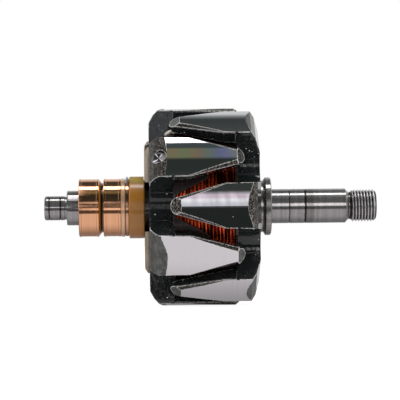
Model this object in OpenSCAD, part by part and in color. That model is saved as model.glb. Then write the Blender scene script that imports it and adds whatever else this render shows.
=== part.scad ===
// Claw-pole rotor of a vehicle alternator, lying with its shaft along X.
// The drive end points to +X and the slip-ring end to -X. The origin is on the
// shaft's axis, at the face of the stop collar that the drive-end bearing seats on.
// Angles round the shaft are given as elevations: 0 faces -Y and 90 is straight up.

/* [Shaft] */
// Diameter of the drive-end bearing seat
shaft_d = 17; // [15:0.5:18]
// Radial step from the drive-end bearing seat up to the seat of the stop collar
collar_step = 0.2; // [0.1:0.05:0.4]
// Diameter of the shaft under the slip rings
ring_shaft_d = 17.2; // [15.2:0.1:18]
// Length of the drive-end bearing seat, up to the thread relief
journal_len = 38.6; // [20:0.2:60]
// Chamfer along the end of the drive-end bearing seat
journal_chamfer = 1.65; // [0.4:0.05:1.8]
// Diameter of the thread relief
relief_d = 13.6; // [12:0.1:14.5]
// Width of the thread relief
relief_len = 1; // [0.8:0.1:4]
// Outer diameter of the pulley thread
thread_d = 16; // [15:0.5:17]
// Length of the pulley thread
thread_len = 12.6; // [8:0.1:25]
// Chamfer at the end of the thread
thread_chamfer = 1.3; // [0.5:0.1:2]
// Diameter of the slip-ring-end bearing seat
stub_d = 12; // [10:0.5:14]
// Length of the slip-ring-end bearing seat
stub_len = 11.1; // [8:0.1:18]
// Chamfer at the tip of the slip-ring-end bearing seat
stub_chamfer = 1; // [0.3:0.1:1.5]
// Width of the undercut at the root of the slip-ring-end bearing seat
undercut_len = 1.2; // [0.6:0.1:2]
// Depth of that undercut
undercut_depth = 0.25; // [0.1:0.05:0.6]
// Bare shaft between the slip rings and the slip-ring-end bearing seat
step_len = 6; // [3:0.1:12]
// Chamfer at the shoulder of that bare length
step_chamfer = 0.6; // [0.2:0.1:1]
// Diameter of the press seat under the poles
seat_d = 19; // [18.5:0.5:24]
// Diameter of the centre-drilled holes in the shaft's ends
centre_d = 5; // [3:0.5:6]

/* [Stop collar] */
// Whole length of the stop collar, from the pole's face to the bearing
collar_len = 6.5; // [5:0.1:12]
// Diameter of the collar's rim
collar_d = 28.6; // [24:0.2:36]
// Width of the rim
collar_rim = 2.7; // [1.5:0.1:3.5]
// Diameter of the neck behind the rim
collar_neck_d = 25.6; // [22:0.2:27]
// Length of the cone between neck and rim
collar_cone = 1; // [0.6:0.1:2]
// Width of the groove where the cone leaves the neck
collar_groove_w = 0.5; // [0.3:0.1:0.8]
// Depth of that groove
collar_groove_depth = 0.4; // [0.2:0.1:0.6]
// Chamfer on the rim's bearing side
collar_chamfer = 0.5; // [0.2:0.1:0.8]

/* [Claw poles] */
// Diameter over the turned poles
pole_d = 97.2; // [94:0.2:110]
// Distance between the two poles' outer faces
pole_pack_len = 53.6; // [50:0.1:60]
// Fingers on each pole
fingers = 6; // [6]
// Thickness of each pole's disc
disc_t = 11.2; // [9:0.1:12]
// Width of a finger at its root
finger_root_w = 22.2; // [20:0.1:23]
// Width of a finger where its taper starts
finger_waist_w = 21.6; // [18:0.1:22]
// Slope of a finger's sides, which makes it narrower on the inside
finger_draft = 20; // [12:1:32]
// Height of the upright edge between a finger's bevels and its sloping sides
finger_land = 0.6; // [0.4:0.1:1.2]
// Length of a finger's taper, up to the round of its tip
finger_taper_len = 22; // [16:0.5:25]
// Radius of a finger's tip, seen from outside
finger_tip_r = 4.3; // [3.6:0.1:5]
// Length of a drive-end finger, from its pole's outer face
drive_finger_len = 44; // [38:0.1:44.5]
// Length of a slip-ring-end finger, from its pole's outer face
ring_finger_len = 45.7; // [40:0.1:46]
// Length of the forged facet at a drive-end finger's tip
drive_tip_facet = 5.4; // [3:0.1:7]
// Length of the forged facet at a slip-ring-end finger's tip
ring_tip_facet = 3.7; // [2:0.1:6]
// Depth of the forged facet at a finger's tip
tip_drop = 3; // [1:0.1:4]
// Thickness of a finger at its root
finger_root_t = 8.4; // [7:0.1:8.6]
// Thickness of a finger at its tip
finger_tip_t = 5.4; // [4.5:0.1:6]
// Distance from the face where a root's shoulder meets the turned surface
shoulder_reach = 8.3; // [6:0.1:9]
// Depth of the drive-end shoulders below the turned surface, at the face
drive_shoulder_drop = 12.4; // [6:0.1:13]
// Power of the curve that the drive-end shoulders fall by
drive_shoulder_power = 3.4; // [2:0.1:3.6]
// Depth of the slip-ring-end shoulders below the turned surface, at the face
ring_shoulder_drop = 7.2; // [5:0.1:8]
// Power of the curve that the slip-ring-end shoulders fall by
ring_shoulder_power = 2.5; // [2:0.1:3.4]
// Depth below the turned surface at which the bevels start along a finger's taper
taper_bevel = 1.5; // [1:0.05:2.2]
// Depth below the turned surface at which the bevels start along a finger's root
root_bevel = 1.4; // [0.8:0.05:2.2]
// Radius of the round valley between two arms of a pole
valley_r = 9; // [6:0.5:9.5]
// Diameter of the balance drilling in one shoulder
balance_d = 6.8; // [3:0.2:8]
// Depth of the balance drilling's straight wall below the turned surface
balance_depth = 3.2; // [2.6:0.1:6]
// Distance of the balance drilling from the pole's outer face
balance_x = 4.6; // [4:0.1:7]

/* [Field coil] */
// Clearance between the fingers' roots and the tongues that cover the winding
tongue_gap = 1.4; // [0.6:0.1:2]
// Diameter of the steel core inside the coil
core_d = 48; // [44:0.5:52]
// Wall of the former's tube
former_wall = 1.2; // [0.8:0.1:2]
// Thickness of the former's cheeks
cheek_t = 1.2; // [0.8:0.1:1.6]
// Thickness of the tongues that lie between the coil and the fingers
tongue_t = 0.8; // [0.5:0.1:1]
// Length of a tongue along the coil
tongue_len = 16; // [10:0.1:17]
// Width of a slip-ring-end tongue at its root
ring_tongue_root_w = 30.5; // [20:0.5:31]
// Width of a slip-ring-end tongue at its end
ring_tongue_end_w = 13.4; // [8:0.2:14]
// Width of a drive-end tongue at its root
drive_tongue_root_w = 19; // [16:0.5:31]
// Width of a drive-end tongue at its end
drive_tongue_end_w = 9; // [7:0.2:14]
// Size of the cut corners at a tongue's end
tongue_corner = 1; // [0.5:0.1:2]
// Rounding of the coil's outer corners
coil_round = 0.8; // [0.4:0.1:1.5]

/* [Slip rings] */
// Diameter of the two slip rings
ring_d = 28.7; // [27:0.1:32]
// Width of the outer slip ring
outer_ring_w = 10; // [7:0.1:14]
// Width of the inner slip ring's track
inner_ring_w = 8.7; // [7:0.1:14]
// Gap between the slip rings
ring_gap = 2.1; // [1.4:0.1:4]
// Radial thickness of the slip rings
ring_wall = 2.1; // [1.5:0.1:3]
// Chamfer on the slip rings' edges
ring_chamfer = 0.3; // [0.1:0.1:0.6]
// Depth that the brushes have worn into the slip rings
track_wear = 0.15; // [0.05:0.05:0.4]
// Unworn edge on either side of a brush track
track_margin = 1.2; // [0.8:0.1:2]
// Width of the resin band beside the inner ring
band_w = 2; // [1:0.1:3]
// How far the resin band stands above the rings
band_rise = 0.1; // [0:0.05:0.4]
// Width of the terminal ring beside the resin band
terminal_w = 1.9; // [1.2:0.1:3]
// How far the terminal ring lies below the slip rings
terminal_step = 0.15; // [0.1:0.05:0.8]
// Diameter of the moulded collar
mould_d = 30.6; // [29:0.1:34]
// Width of the moulded collar
mould_w = 7.7; // [5:0.1:12]
// Chamfer on the moulded collar's edges
mould_chamfer = 0.5; // [0.2:0.1:1]
// Angle that the resin-filled lead slot covers at the top of the moulded collar
slot_span = 80; // [40:1:100]
// Depth of the lead slot
slot_depth = 2.6; // [2.2:0.1:3]
// Width of the moulded lip that closes the lead slot at the rings' side
slot_lip = 0.4; // [0.3:0.1:1.5]
// Bare end of the lead slot, where the leads go in
slot_mouth = 0.4; // [0.3:0.1:1]

/* [Lead plate and leads] */
// Diameter of the lead plate against the pole
plate_d = 65.2; // [60:0.2:70]
// Thickness of the lead plate
plate_t = 2.1; // [1.9:0.1:3]
// Radial width of the bevel round the lead plate
plate_bevel = 2.2; // [0.5:0.1:3]
// Diameter of the lead plate's hole
plate_bore_d = 28.6; // [28:0.1:29.4]
// Width of the lead plate's open front
plate_notch_w = 24; // [18:0.5:26]
// Clearance between the lead plate and the pole
plate_gap = 0.1; // [0.05:0.05:0.6]
// Diameter of the black spacer between the pole and the moulded collar
spacer_d = 24; // [20:0.5:24.5]
// Diameter of a sleeved lead
lead_d = 1.6; // [1:0.1:1.7]
// Elevation at which the front lead leaves the coil, mirrored for the rear lead
lead_angle = 66; // [62:1:70]
// Diameter of the bare wire end on the terminal ring
tail_d = 1.5; // [0.8:0.1:1.8]
// Elevation of the middle of the wire end
tail_angle = 63; // [50:1:80]
// Angle that the wire end covers on the terminal ring
tail_angle_span = 24; // [12:1:30]

/* [Hidden] */
$fn = 96;

// How far a cut runs past what it cuts
over = 1;
// Clearance between pieces that are pressed or cast together
fit = 0.03;
// Clearance between a lead and the walls of its channel
lead_play = 0.25;
// Sides of a swept lead
lead_sides = 8;
// Share of a round's radius at which a straight side runs into it
blend_share = 0.97;
// Facets that make up a shoulder's curve
shoulder_facets = 4;
// Half angle of a drill's point, and the share of its radius that its chisel edge leaves flat
drill_half_angle = 59;
chisel_share = 0.1;
// Half angle of a centre drill's cone
centre_half_angle = 30;
// Slope of the bevels on a finger's sides
bevel_angle = 45;

pitch = 360 / fingers;
pole_r = pole_d / 2;
shaft_r = shaft_d / 2;
seat_r = seat_d / 2;
ring_r = ring_d / 2;
ring_shaft_r = ring_shaft_d / 2;
core_r = core_d / 2;
coil_r = pole_r - finger_root_t - tongue_gap - tongue_t - fit;
former_r = core_r + fit + former_wall;
tongue_r = coil_r + fit + tongue_t;
plate_r = plate_d / 2;

// Stations along the shaft, from the drive end to the slip-ring end
x_relief = journal_len;
x_thread = x_relief + relief_len;
x_drive_tip = x_thread + thread_len;
x_drive_face = -collar_len;
x_ring_face = x_drive_face - pole_pack_len;
x_plate = x_ring_face - plate_gap;
x_mould = x_plate - plate_t;
x_terminal = x_mould - mould_w;
x_band = x_terminal - terminal_w;
x_inner = x_band - band_w;
x_gap = x_inner - inner_ring_w;
x_outer = x_gap - ring_gap;
x_step = x_outer - outer_ring_w;
x_stub = x_step - step_len;
x_ring_tip = x_stub - stub_len;
x_ring_disc = x_ring_face + disc_t;
x_drive_disc = x_drive_face - disc_t;

// Valley between two arms: its sides meet at this radius if drawn on sharp
valley_apex_r = finger_root_w / 2 / sin(pitch / 2);
valley_centre_r = valley_apex_r + valley_r / sin(pitch / 2);
valley_floor_r = valley_centre_r - valley_r;
hub_r = (valley_centre_r - valley_r * sin(pitch / 2)) * blend_share;

// Turns a profile drawn as radius and station about the shaft's axis
module turned() {
    rotate([0, 90, 0]) rotate_extrude() children();
}

// Swings a piece drawn straight up to an elevation
module at_elevation(angle) {
    rotate([90 - angle, 0, 0]) children();
}

// Ring between two stations, with both outer edges chamfered
module ring(x0, x1, r_in, r_out, chamfer) {
    turned() polygon([
        [r_in, x0], [r_out - chamfer, x0], [r_out, x0 + chamfer],
        [r_out, x1 - chamfer], [r_out - chamfer, x1], [r_in, x1]
    ]);
}

// Bar lying along X between two stations
module bar(x0, x1, r) {
    translate([x0, 0, 0]) rotate([0, 90, 0]) cylinder(h = x1 - x0, r = r);
}

module shaft() {
    centre_r = centre_d / 2;
    centre_depth = centre_r / tan(centre_half_angle);
    stub_r = stub_d / 2;
    thread_r = thread_d / 2;
    color("silver") turned() polygon([
        [0, x_ring_tip + centre_depth],
        [centre_r, x_ring_tip],
        [stub_r - stub_chamfer, x_ring_tip],
        [stub_r, x_ring_tip + stub_chamfer],
        [stub_r, x_stub - undercut_len],
        [stub_r - undercut_depth, x_stub - undercut_len + undercut_depth],
        [stub_r - undercut_depth, x_stub],
        [ring_shaft_r - step_chamfer, x_stub],
        [ring_shaft_r, x_stub + step_chamfer],
        [ring_shaft_r, x_ring_face],
        [seat_r, x_ring_face],
        [seat_r, x_drive_face],
        [shaft_r + collar_step, x_drive_face],
        [shaft_r + collar_step, 0],
        [shaft_r, 0],
        [shaft_r, x_relief - journal_chamfer],
        [shaft_r - journal_chamfer, x_relief],
        [relief_d / 2, x_relief],
        [relief_d / 2, x_thread],
        [thread_r, x_thread + (thread_d - relief_d) / 2],
        [thread_r, x_drive_tip - thread_chamfer],
        [thread_r - thread_chamfer, x_drive_tip],
        [centre_r, x_drive_tip],
        [0, x_drive_tip - centre_depth]
    ]);
}

module stop_collar() {
    bore_r = shaft_r + collar_step + fit;
    neck_r = collar_neck_d / 2;
    rim_r = collar_d / 2;
    x_cone = -collar_rim - collar_cone;
    color("gainsboro") turned() polygon([
        [bore_r, x_drive_face],
        [neck_r, x_drive_face],
        [neck_r, x_cone - collar_groove_w],
        [neck_r - collar_groove_depth, x_cone - collar_groove_w / 2],
        [neck_r, x_cone],
        [rim_r, -collar_rim],
        [rim_r, -collar_chamfer],
        [rim_r - collar_chamfer, 0],
        [bore_r, 0]
    ]);
}

// Side view of an arm and its finger: stations from the face, and heights
module finger_side(length, facet, drop, power) {
    under_root = pole_r - finger_root_t;
    under_tip = pole_r - finger_tip_t;
    last_run = shoulder_reach / shoulder_facets;
    last_fall = drop * pow(1 / shoulder_facets, power);
    polygon(concat(
        [[0, seat_r + over]],
        [
            for (i = [0:shoulder_facets - 1]) let (share = i / shoulder_facets)
                [shoulder_reach * share, pole_r - drop * pow(1 - share, power)]
        ],
        [
            [shoulder_reach + over / last_fall * last_run, pole_r + over],
            [length - facet - over / tip_drop * facet, pole_r + over],
            [length, pole_r - tip_drop],
            [length, under_tip],
            [disc_t, under_root],
            [disc_t, seat_r + over]
        ]
    ));
}

// Half space above the bevel along one straight side of a finger
module bevel_cut(from, to, depth) {
    run = norm(to - from);
    translate([from[0], from[1], pole_r - depth])
        rotate([0, 0, atan2(to[1] - from[1], to[0] - from[0])])
            rotate([-bevel_angle, 0, 0])
                translate([-over, -finger_root_w / 2, 0])
                    cube([run + 2 * over, finger_root_w, finger_root_w / 2]);
}

// Half space outside the sloping wall under one straight side of a finger
module draft_cut(from, to, depth) {
    translate([from[0], from[1], pole_r - depth])
        rotate([0, 0, atan2(to[1] - from[1], to[0] - from[0])])
            rotate([-90 - finger_draft, 0, 0])
                cube([norm(to - from), finger_root_w, finger_root_w / 2]);
}

// Round of a finger's tip, upright along its edge and conical below
module finger_tip(tip_x) {
    land_z = pole_r - taper_bevel - finger_land;
    cone_h = finger_root_t - taper_bevel - finger_land;
    translate([tip_x, 0, land_z]) {
        cylinder(h = pole_r + over - land_z, r = finger_tip_r);
        translate([0, 0, -cone_h])
            cylinder(h = cone_h, r1 = finger_tip_r - cone_h * tan(finger_draft), r2 = finger_tip_r);
    }
}

// One arm with its finger, standing up, with the pole's face at the origin
module finger(length, facet, drop, power) {
    tip_x = length - finger_tip_r;
    slope = atan2(finger_waist_w / 2 - finger_tip_r, finger_taper_len);
    root = [0, finger_root_w / 2];
    waist = [tip_x - finger_taper_len, finger_waist_w / 2];
    tip = [tip_x, finger_tip_r];
    end = [tip_x, 0] + finger_tip_r * blend_share * [sin(slope), cos(slope)];
    draft_start = root + (waist - root) * (disc_t + finger_land) / waist[0];
    draft_depth = taper_bevel + finger_land;
    difference() {
        intersection() {
            rotate([90, 0, 0])
                linear_extrude(height = finger_root_w + 2 * over, center = true)
                    finger_side(length, facet, drop, power);
            union() {
                difference() {
                    linear_extrude(height = pole_r + 2 * over) polygon([
                        root, waist, end, [end[0], -end[1]], [waist[0], -waist[1]], [root[0], -root[1]]
                    ]);
                    for (side = [0, 1]) mirror([0, side, 0]) {
                        draft_cut(draft_start, waist + over * unit(waist - draft_start), draft_depth);
                        draft_cut(waist - over * unit(end - waist), end + over * unit(end - waist), draft_depth);
                    }
                }
                finger_tip(tip_x);
            }
            bar(-over, length + over, pole_r);
        }
        for (side = [0, 1]) mirror([0, side, 0]) {
            bevel_cut(root, waist, root_bevel);
            bevel_cut(waist, tip, taper_bevel);
        }
    }
}

// One whole pole with its outer face at the origin and its fingers towards +X
module claw_pole(length, facet, drop, power) {
    difference() {
        union() {
            difference() {
                bar(0, disc_t, hub_r);
                for (i = [0:fingers - 1]) rotate([(i + 1 / 2) * pitch, 0, 0])
                    translate([0, 0, valley_centre_r]) bar(-over, disc_t + over, valley_r);
            }
            for (i = [0:fingers - 1]) rotate([i * pitch, 0, 0])
                finger(length, facet, drop, power);
        }
        bar(-over, disc_t + over, seat_r + fit);
    }
}

module drive_end_pole() {
    color("dimgray") translate([x_drive_face, 0, 0]) rotate([0, 0, 180])
        rotate([pitch / 2, 0, 0]) claw_pole(
            drive_finger_len, drive_tip_facet, drive_shoulder_drop, drive_shoulder_power
        );
}

module slip_ring_end_pole() {
    point_r = balance_d / 2;
    point_depth = point_r * (1 - chisel_share) / tan(drill_half_angle);
    color("dimgray") translate([x_ring_face, 0, 0]) difference() {
        claw_pole(ring_finger_len, ring_tip_facet, ring_shoulder_drop, ring_shoulder_power);
        at_elevation(pitch / 2) translate([balance_x, 0, pole_r - balance_depth]) {
            cylinder(h = balance_depth + over, r = point_r);
            translate([0, 0, -point_depth])
                cylinder(h = point_depth, r1 = point_r * chisel_share, r2 = point_r);
        }
    }
}

module pole_core() {
    color("gray") turned() polygon([
        [seat_r + fit, x_ring_disc + fit], [core_r, x_ring_disc + fit],
        [core_r, x_drive_disc - fit], [seat_r + fit, x_drive_disc - fit]
    ]);
}

module former_tube() {
    color("black") turned() polygon([
        [core_r + fit, x_ring_disc + cheek_t + fit], [former_r, x_ring_disc + cheek_t + fit],
        [former_r, x_drive_disc - cheek_t - fit], [core_r + fit, x_drive_disc - cheek_t - fit]
    ]);
}

// Cheek of the coil former with its tongues, lying against the disc at the origin
module cheek(root_w, end_w) {
    tongue_end = cheek_t + tongue_len;
    turned() polygon([
        [core_r + fit, fit], [tongue_r, fit], [tongue_r, cheek_t], [core_r + fit, cheek_t]
    ]);
    intersection() {
        turned() polygon([
            [coil_r + fit, fit], [tongue_r, fit], [tongue_r, tongue_end], [coil_r + fit, tongue_end]
        ]);
        for (i = [0:fingers - 1]) rotate([i * pitch, 0, 0]) linear_extrude(height = pole_r)
            polygon([
                [0, -root_w / 2], [tongue_end - tongue_corner, -end_w / 2],
                [tongue_end + over, tongue_corner + over - end_w / 2],
                [tongue_end + over, end_w / 2 - tongue_corner - over],
                [tongue_end - tongue_corner, end_w / 2], [0, root_w / 2]
            ]);
    }
}

module drive_end_cheek() {
    color("darkslategray") translate([x_drive_disc, 0, 0]) rotate([0, 0, 180])
        rotate([pitch / 2, 0, 0]) cheek(drive_tongue_root_w, drive_tongue_end_w);
}

module slip_ring_end_cheek() {
    color("darkslategray") translate([x_ring_disc, 0, 0])
        cheek(ring_tongue_root_w, ring_tongue_end_w);
}

module field_coil() {
    color("firebrick") ring(
        x_ring_disc + cheek_t + fit, x_drive_disc - cheek_t - fit,
        former_r + fit, coil_r, coil_round
    );
}

// Sleeve under the rings, the flared rib between them and the collar beside them
module slip_ring_moulding() {
    bore_r = ring_shaft_r + fit;
    sleeve_r = ring_r - ring_wall - fit;
    mould_r = mould_d / 2;
    color("darkgoldenrod") difference() {
        turned() polygon([
            [bore_r, x_step], [sleeve_r, x_step], [sleeve_r, x_gap - ring_gap + fit],
            [ring_r - ring_chamfer, x_outer + fit], [sleeve_r, x_gap - ring_gap / 3],
            [sleeve_r, x_terminal], [mould_r - mould_chamfer, x_terminal],
            [mould_r, x_terminal + mould_chamfer], [mould_r, x_mould - mould_chamfer],
            [mould_r - mould_chamfer, x_mould], [bore_r, x_mould]
        ]);
        lead_slot(x_terminal + slot_lip, x_mould + over, mould_r - slot_depth, mould_r + over, 0);
    }
}

// Sector of a ring across the top, between two stations and two radii
module lead_slot(x0, x1, r_in, r_out, play) {
    half = slot_span / 2 - asin(play / r_in);
    rotate([0, 90, 0]) rotate([0, 0, 180 - half]) rotate_extrude(angle = 2 * half)
        polygon([[r_in, x0], [r_out, x0], [r_out, x1], [r_in, x1]]);
}

// Slip ring between two stations, with a worn brush track between unworn edges
module slip_ring(x0, x1) {
    difference() {
        ring(x0, x1, ring_r - ring_wall, ring_r, ring_chamfer);
        turned() polygon([
            [ring_r - track_wear, x0 + track_margin + track_wear],
            [ring_r + over, x0 + track_margin - over],
            [ring_r + over, x1 - track_margin + over],
            [ring_r - track_wear, x1 - track_margin - track_wear]
        ]);
    }
}

module outer_slip_ring() {
    color("peru") slip_ring(x_step, x_outer);
}

module inner_slip_ring() {
    color("peru") slip_ring(x_gap, x_inner);
}

module resin_band() {
    color("tan") ring(x_inner, x_band, ring_r - ring_wall, ring_r + band_rise, ring_chamfer);
}

module terminal_ring() {
    color("chocolate") ring(
        x_band, x_terminal, ring_r - ring_wall, ring_r - terminal_step, ring_chamfer
    );
}

module lead_slot_resin() {
    mould_r = mould_d / 2;
    color("goldenrod") lead_slot(
        x_terminal + slot_lip + fit, x_mould - slot_mouth,
        mould_r - slot_depth + fit, mould_r, fit
    );
}

// Insulating plate that covers the leads on the pole's face, open at the front
module lead_plate() {
    bore_r = plate_bore_d / 2;
    groove_w = lead_d + 2 * lead_play;
    groove_depth = lead_d / 2 + lead_play + plate_t / 2 - plate_gap / 2;
    color("tan") difference() {
        turned() polygon([
            [bore_r, x_mould], [plate_r - plate_bevel, x_mould],
            [plate_r, x_plate - plate_t / 3], [plate_r, x_plate], [bore_r, x_plate]
        ]);
        translate([x_mould - over, -plate_r - over, -plate_notch_w / 2])
            cube([plate_t + 2 * over, plate_r + over, plate_notch_w]);
        for (angle = [lead_angle, 180 - lead_angle]) at_elevation(angle)
            translate([x_plate - groove_depth, -groove_w / 2, 0])
                cube([groove_depth + over, groove_w, plate_r + over]);
    }
}

module hub_spacer() {
    color("black") turned() polygon([
        [ring_shaft_r + fit, x_mould], [spacer_d / 2, x_mould],
        [spacer_d / 2, x_ring_face], [ring_shaft_r + fit, x_ring_face]
    ]);
}

// Unit vector along a direction
function unit(v) = v / norm(v);

// Tube swept along points of a route that lies in the XZ plane
module tube(route, r, sides) {
    last = len(route) - 1;
    rings = [
        for (i = [0:last])
            let (
                along = unit(route[min(i + 1, last)] - route[max(i - 1, 0)]),
                across = cross([0, 1, 0], along)
            )
            for (k = [0:sides - 1])
                let (a = 360 * k / sides)
                route[i] + r * (cos(a) * across + sin(a) * [0, 1, 0])
    ];
    walls = [
        for (i = [0:last - 1], k = [0:sides - 1])
            let (a = i * sides + k, b = i * sides + (k + 1) % sides)
            [a, b, b + sides, a + sides]
    ];
    start = [for (k = [0:sides - 1]) sides - 1 - k];
    end = [for (k = [0:sides - 1]) last * sides + k];
    polyhedron(points = rings, faces = concat([start], walls, [end]));
}

// A sleeved lead from the coil's edge, down the valley, behind the lead plate
// and into the slot of the moulded collar
module lead(angle) {
    r = lead_d / 2;
    x_front = x_plate - plate_t / 2 + plate_gap / 2;
    coil_exit_r = tongue_r + r + lead_play;
    floor_r = valley_floor_r + r + 3 * lead_play;
    slot_r = mould_d / 2 - slot_depth + r + lead_play;
    bend = lead_d;
    at_elevation(angle) tube([
        [x_ring_disc + cheek_t, 0, coil_exit_r],
        [x_ring_disc - bend, 0, coil_exit_r - lead_play],
        [x_ring_face + 2 * bend, 0, floor_r + bend / 2],
        [x_front + bend, 0, floor_r + lead_play],
        [x_front + bend / 4, 0, floor_r - bend / 4],
        [x_front, 0, floor_r - bend],
        [x_front, 0, slot_r + bend],
        [x_front - bend / 4, 0, slot_r + bend / 4],
        [x_mould - slot_mouth + fit, 0, slot_r]
    ], r, lead_sides);
}

module front_lead() {
    color("wheat") lead(lead_angle);
}

module rear_lead() {
    color("wheat") lead(180 - lead_angle);
}

// Bare wire end that lies round the terminal ring, below the collar's top
module lead_tail() {
    tail_r = ring_r - terminal_step + tail_d / 2 + fit;
    color("slategray") at_elevation(tail_angle + tail_angle_span / 2)
        rotate([0, 90, 0]) rotate([0, 0, 180]) rotate_extrude(angle = tail_angle_span)
            translate([tail_r, (x_band + x_terminal) / 2]) circle(d = tail_d);
}

shaft();
stop_collar();
drive_end_pole();
slip_ring_end_pole();
pole_core();
former_tube();
drive_end_cheek();
slip_ring_end_cheek();
field_coil();
slip_ring_moulding();
outer_slip_ring();
inner_slip_ring();
resin_band();
terminal_ring();
lead_slot_resin();
lead_plate();
hub_spacer();
front_lead();
rear_lead();
lead_tail();
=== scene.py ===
"""Looks of an alternator's claw-pole rotor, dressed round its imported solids.

The shaft lies along X with the drive end at +X. Lengths are in metres, and MM turns
the millimetres in which a maker thinks into them. Elevations round the shaft are 0 at
the front, which faces -Y, and 90 degrees straight up.
"""

from __future__ import annotations

import logging
import math
from dataclasses import dataclass
from enum import Enum

import bpy
import numpy as np
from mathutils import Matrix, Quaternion, Vector

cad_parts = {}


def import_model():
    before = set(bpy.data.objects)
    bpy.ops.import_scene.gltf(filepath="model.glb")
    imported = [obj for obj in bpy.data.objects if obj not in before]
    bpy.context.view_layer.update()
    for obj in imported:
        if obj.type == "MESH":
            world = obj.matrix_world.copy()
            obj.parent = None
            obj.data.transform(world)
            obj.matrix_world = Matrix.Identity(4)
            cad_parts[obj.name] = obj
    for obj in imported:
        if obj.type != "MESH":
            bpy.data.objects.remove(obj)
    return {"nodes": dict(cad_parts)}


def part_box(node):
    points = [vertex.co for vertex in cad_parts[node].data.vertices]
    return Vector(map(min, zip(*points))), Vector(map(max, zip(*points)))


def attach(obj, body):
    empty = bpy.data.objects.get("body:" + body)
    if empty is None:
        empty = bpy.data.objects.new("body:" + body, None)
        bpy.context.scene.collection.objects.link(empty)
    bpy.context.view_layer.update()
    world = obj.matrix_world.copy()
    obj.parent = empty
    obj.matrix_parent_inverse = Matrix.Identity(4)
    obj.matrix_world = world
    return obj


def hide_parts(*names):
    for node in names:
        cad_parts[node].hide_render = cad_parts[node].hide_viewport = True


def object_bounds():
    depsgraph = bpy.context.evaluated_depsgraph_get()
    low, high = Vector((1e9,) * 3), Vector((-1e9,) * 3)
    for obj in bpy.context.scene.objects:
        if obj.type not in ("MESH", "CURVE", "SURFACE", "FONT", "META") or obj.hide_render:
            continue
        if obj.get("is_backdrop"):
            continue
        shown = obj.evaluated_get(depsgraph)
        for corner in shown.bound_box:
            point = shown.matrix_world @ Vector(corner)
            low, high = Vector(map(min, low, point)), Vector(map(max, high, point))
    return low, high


MM = 0.001
BODY = "root"
SENSOR = 36.0

Colour = tuple[float, float, float]
Stops = tuple[tuple[float, Colour], ...]
log = logging.getLogger("rotor")


class Signal:
    """One output of a shader graph, which takes part in arithmetic as a number does."""

    def __init__(self, graph: "Graph", socket: bpy.types.NodeSocket) -> None:
        """Keeps the graph and the socket that this value comes from."""
        self.graph = graph
        self.socket = socket

    def __add__(self, other: "Signal | float") -> "Signal":
        """Sum of two values."""
        return self.graph.math("ADD", self, other)

    __radd__ = __add__

    def __sub__(self, other: "Signal | float") -> "Signal":
        """Difference of two values."""
        return self.graph.math("SUBTRACT", self, other)

    def __rsub__(self, other: float) -> "Signal":
        """A number less this value."""
        return self.graph.math("SUBTRACT", other, self)

    def __mul__(self, other: "Signal | float") -> "Signal":
        """Product of two values."""
        return self.graph.math("MULTIPLY", self, other)

    __rmul__ = __mul__

    def __truediv__(self, other: "Signal | float") -> "Signal":
        """Quotient of two values."""
        return self.graph.math("DIVIDE", self, other)

    def __rtruediv__(self, other: float) -> "Signal":
        """A number divided by this value."""
        return self.graph.math("DIVIDE", other, self)

    def __neg__(self) -> "Signal":
        """This value with its sign turned."""
        return self.graph.math("MULTIPLY", self, -1.0)

    def __abs__(self) -> "Signal":
        """This value without its sign."""
        return self.graph.math("ABSOLUTE", self)


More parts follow.
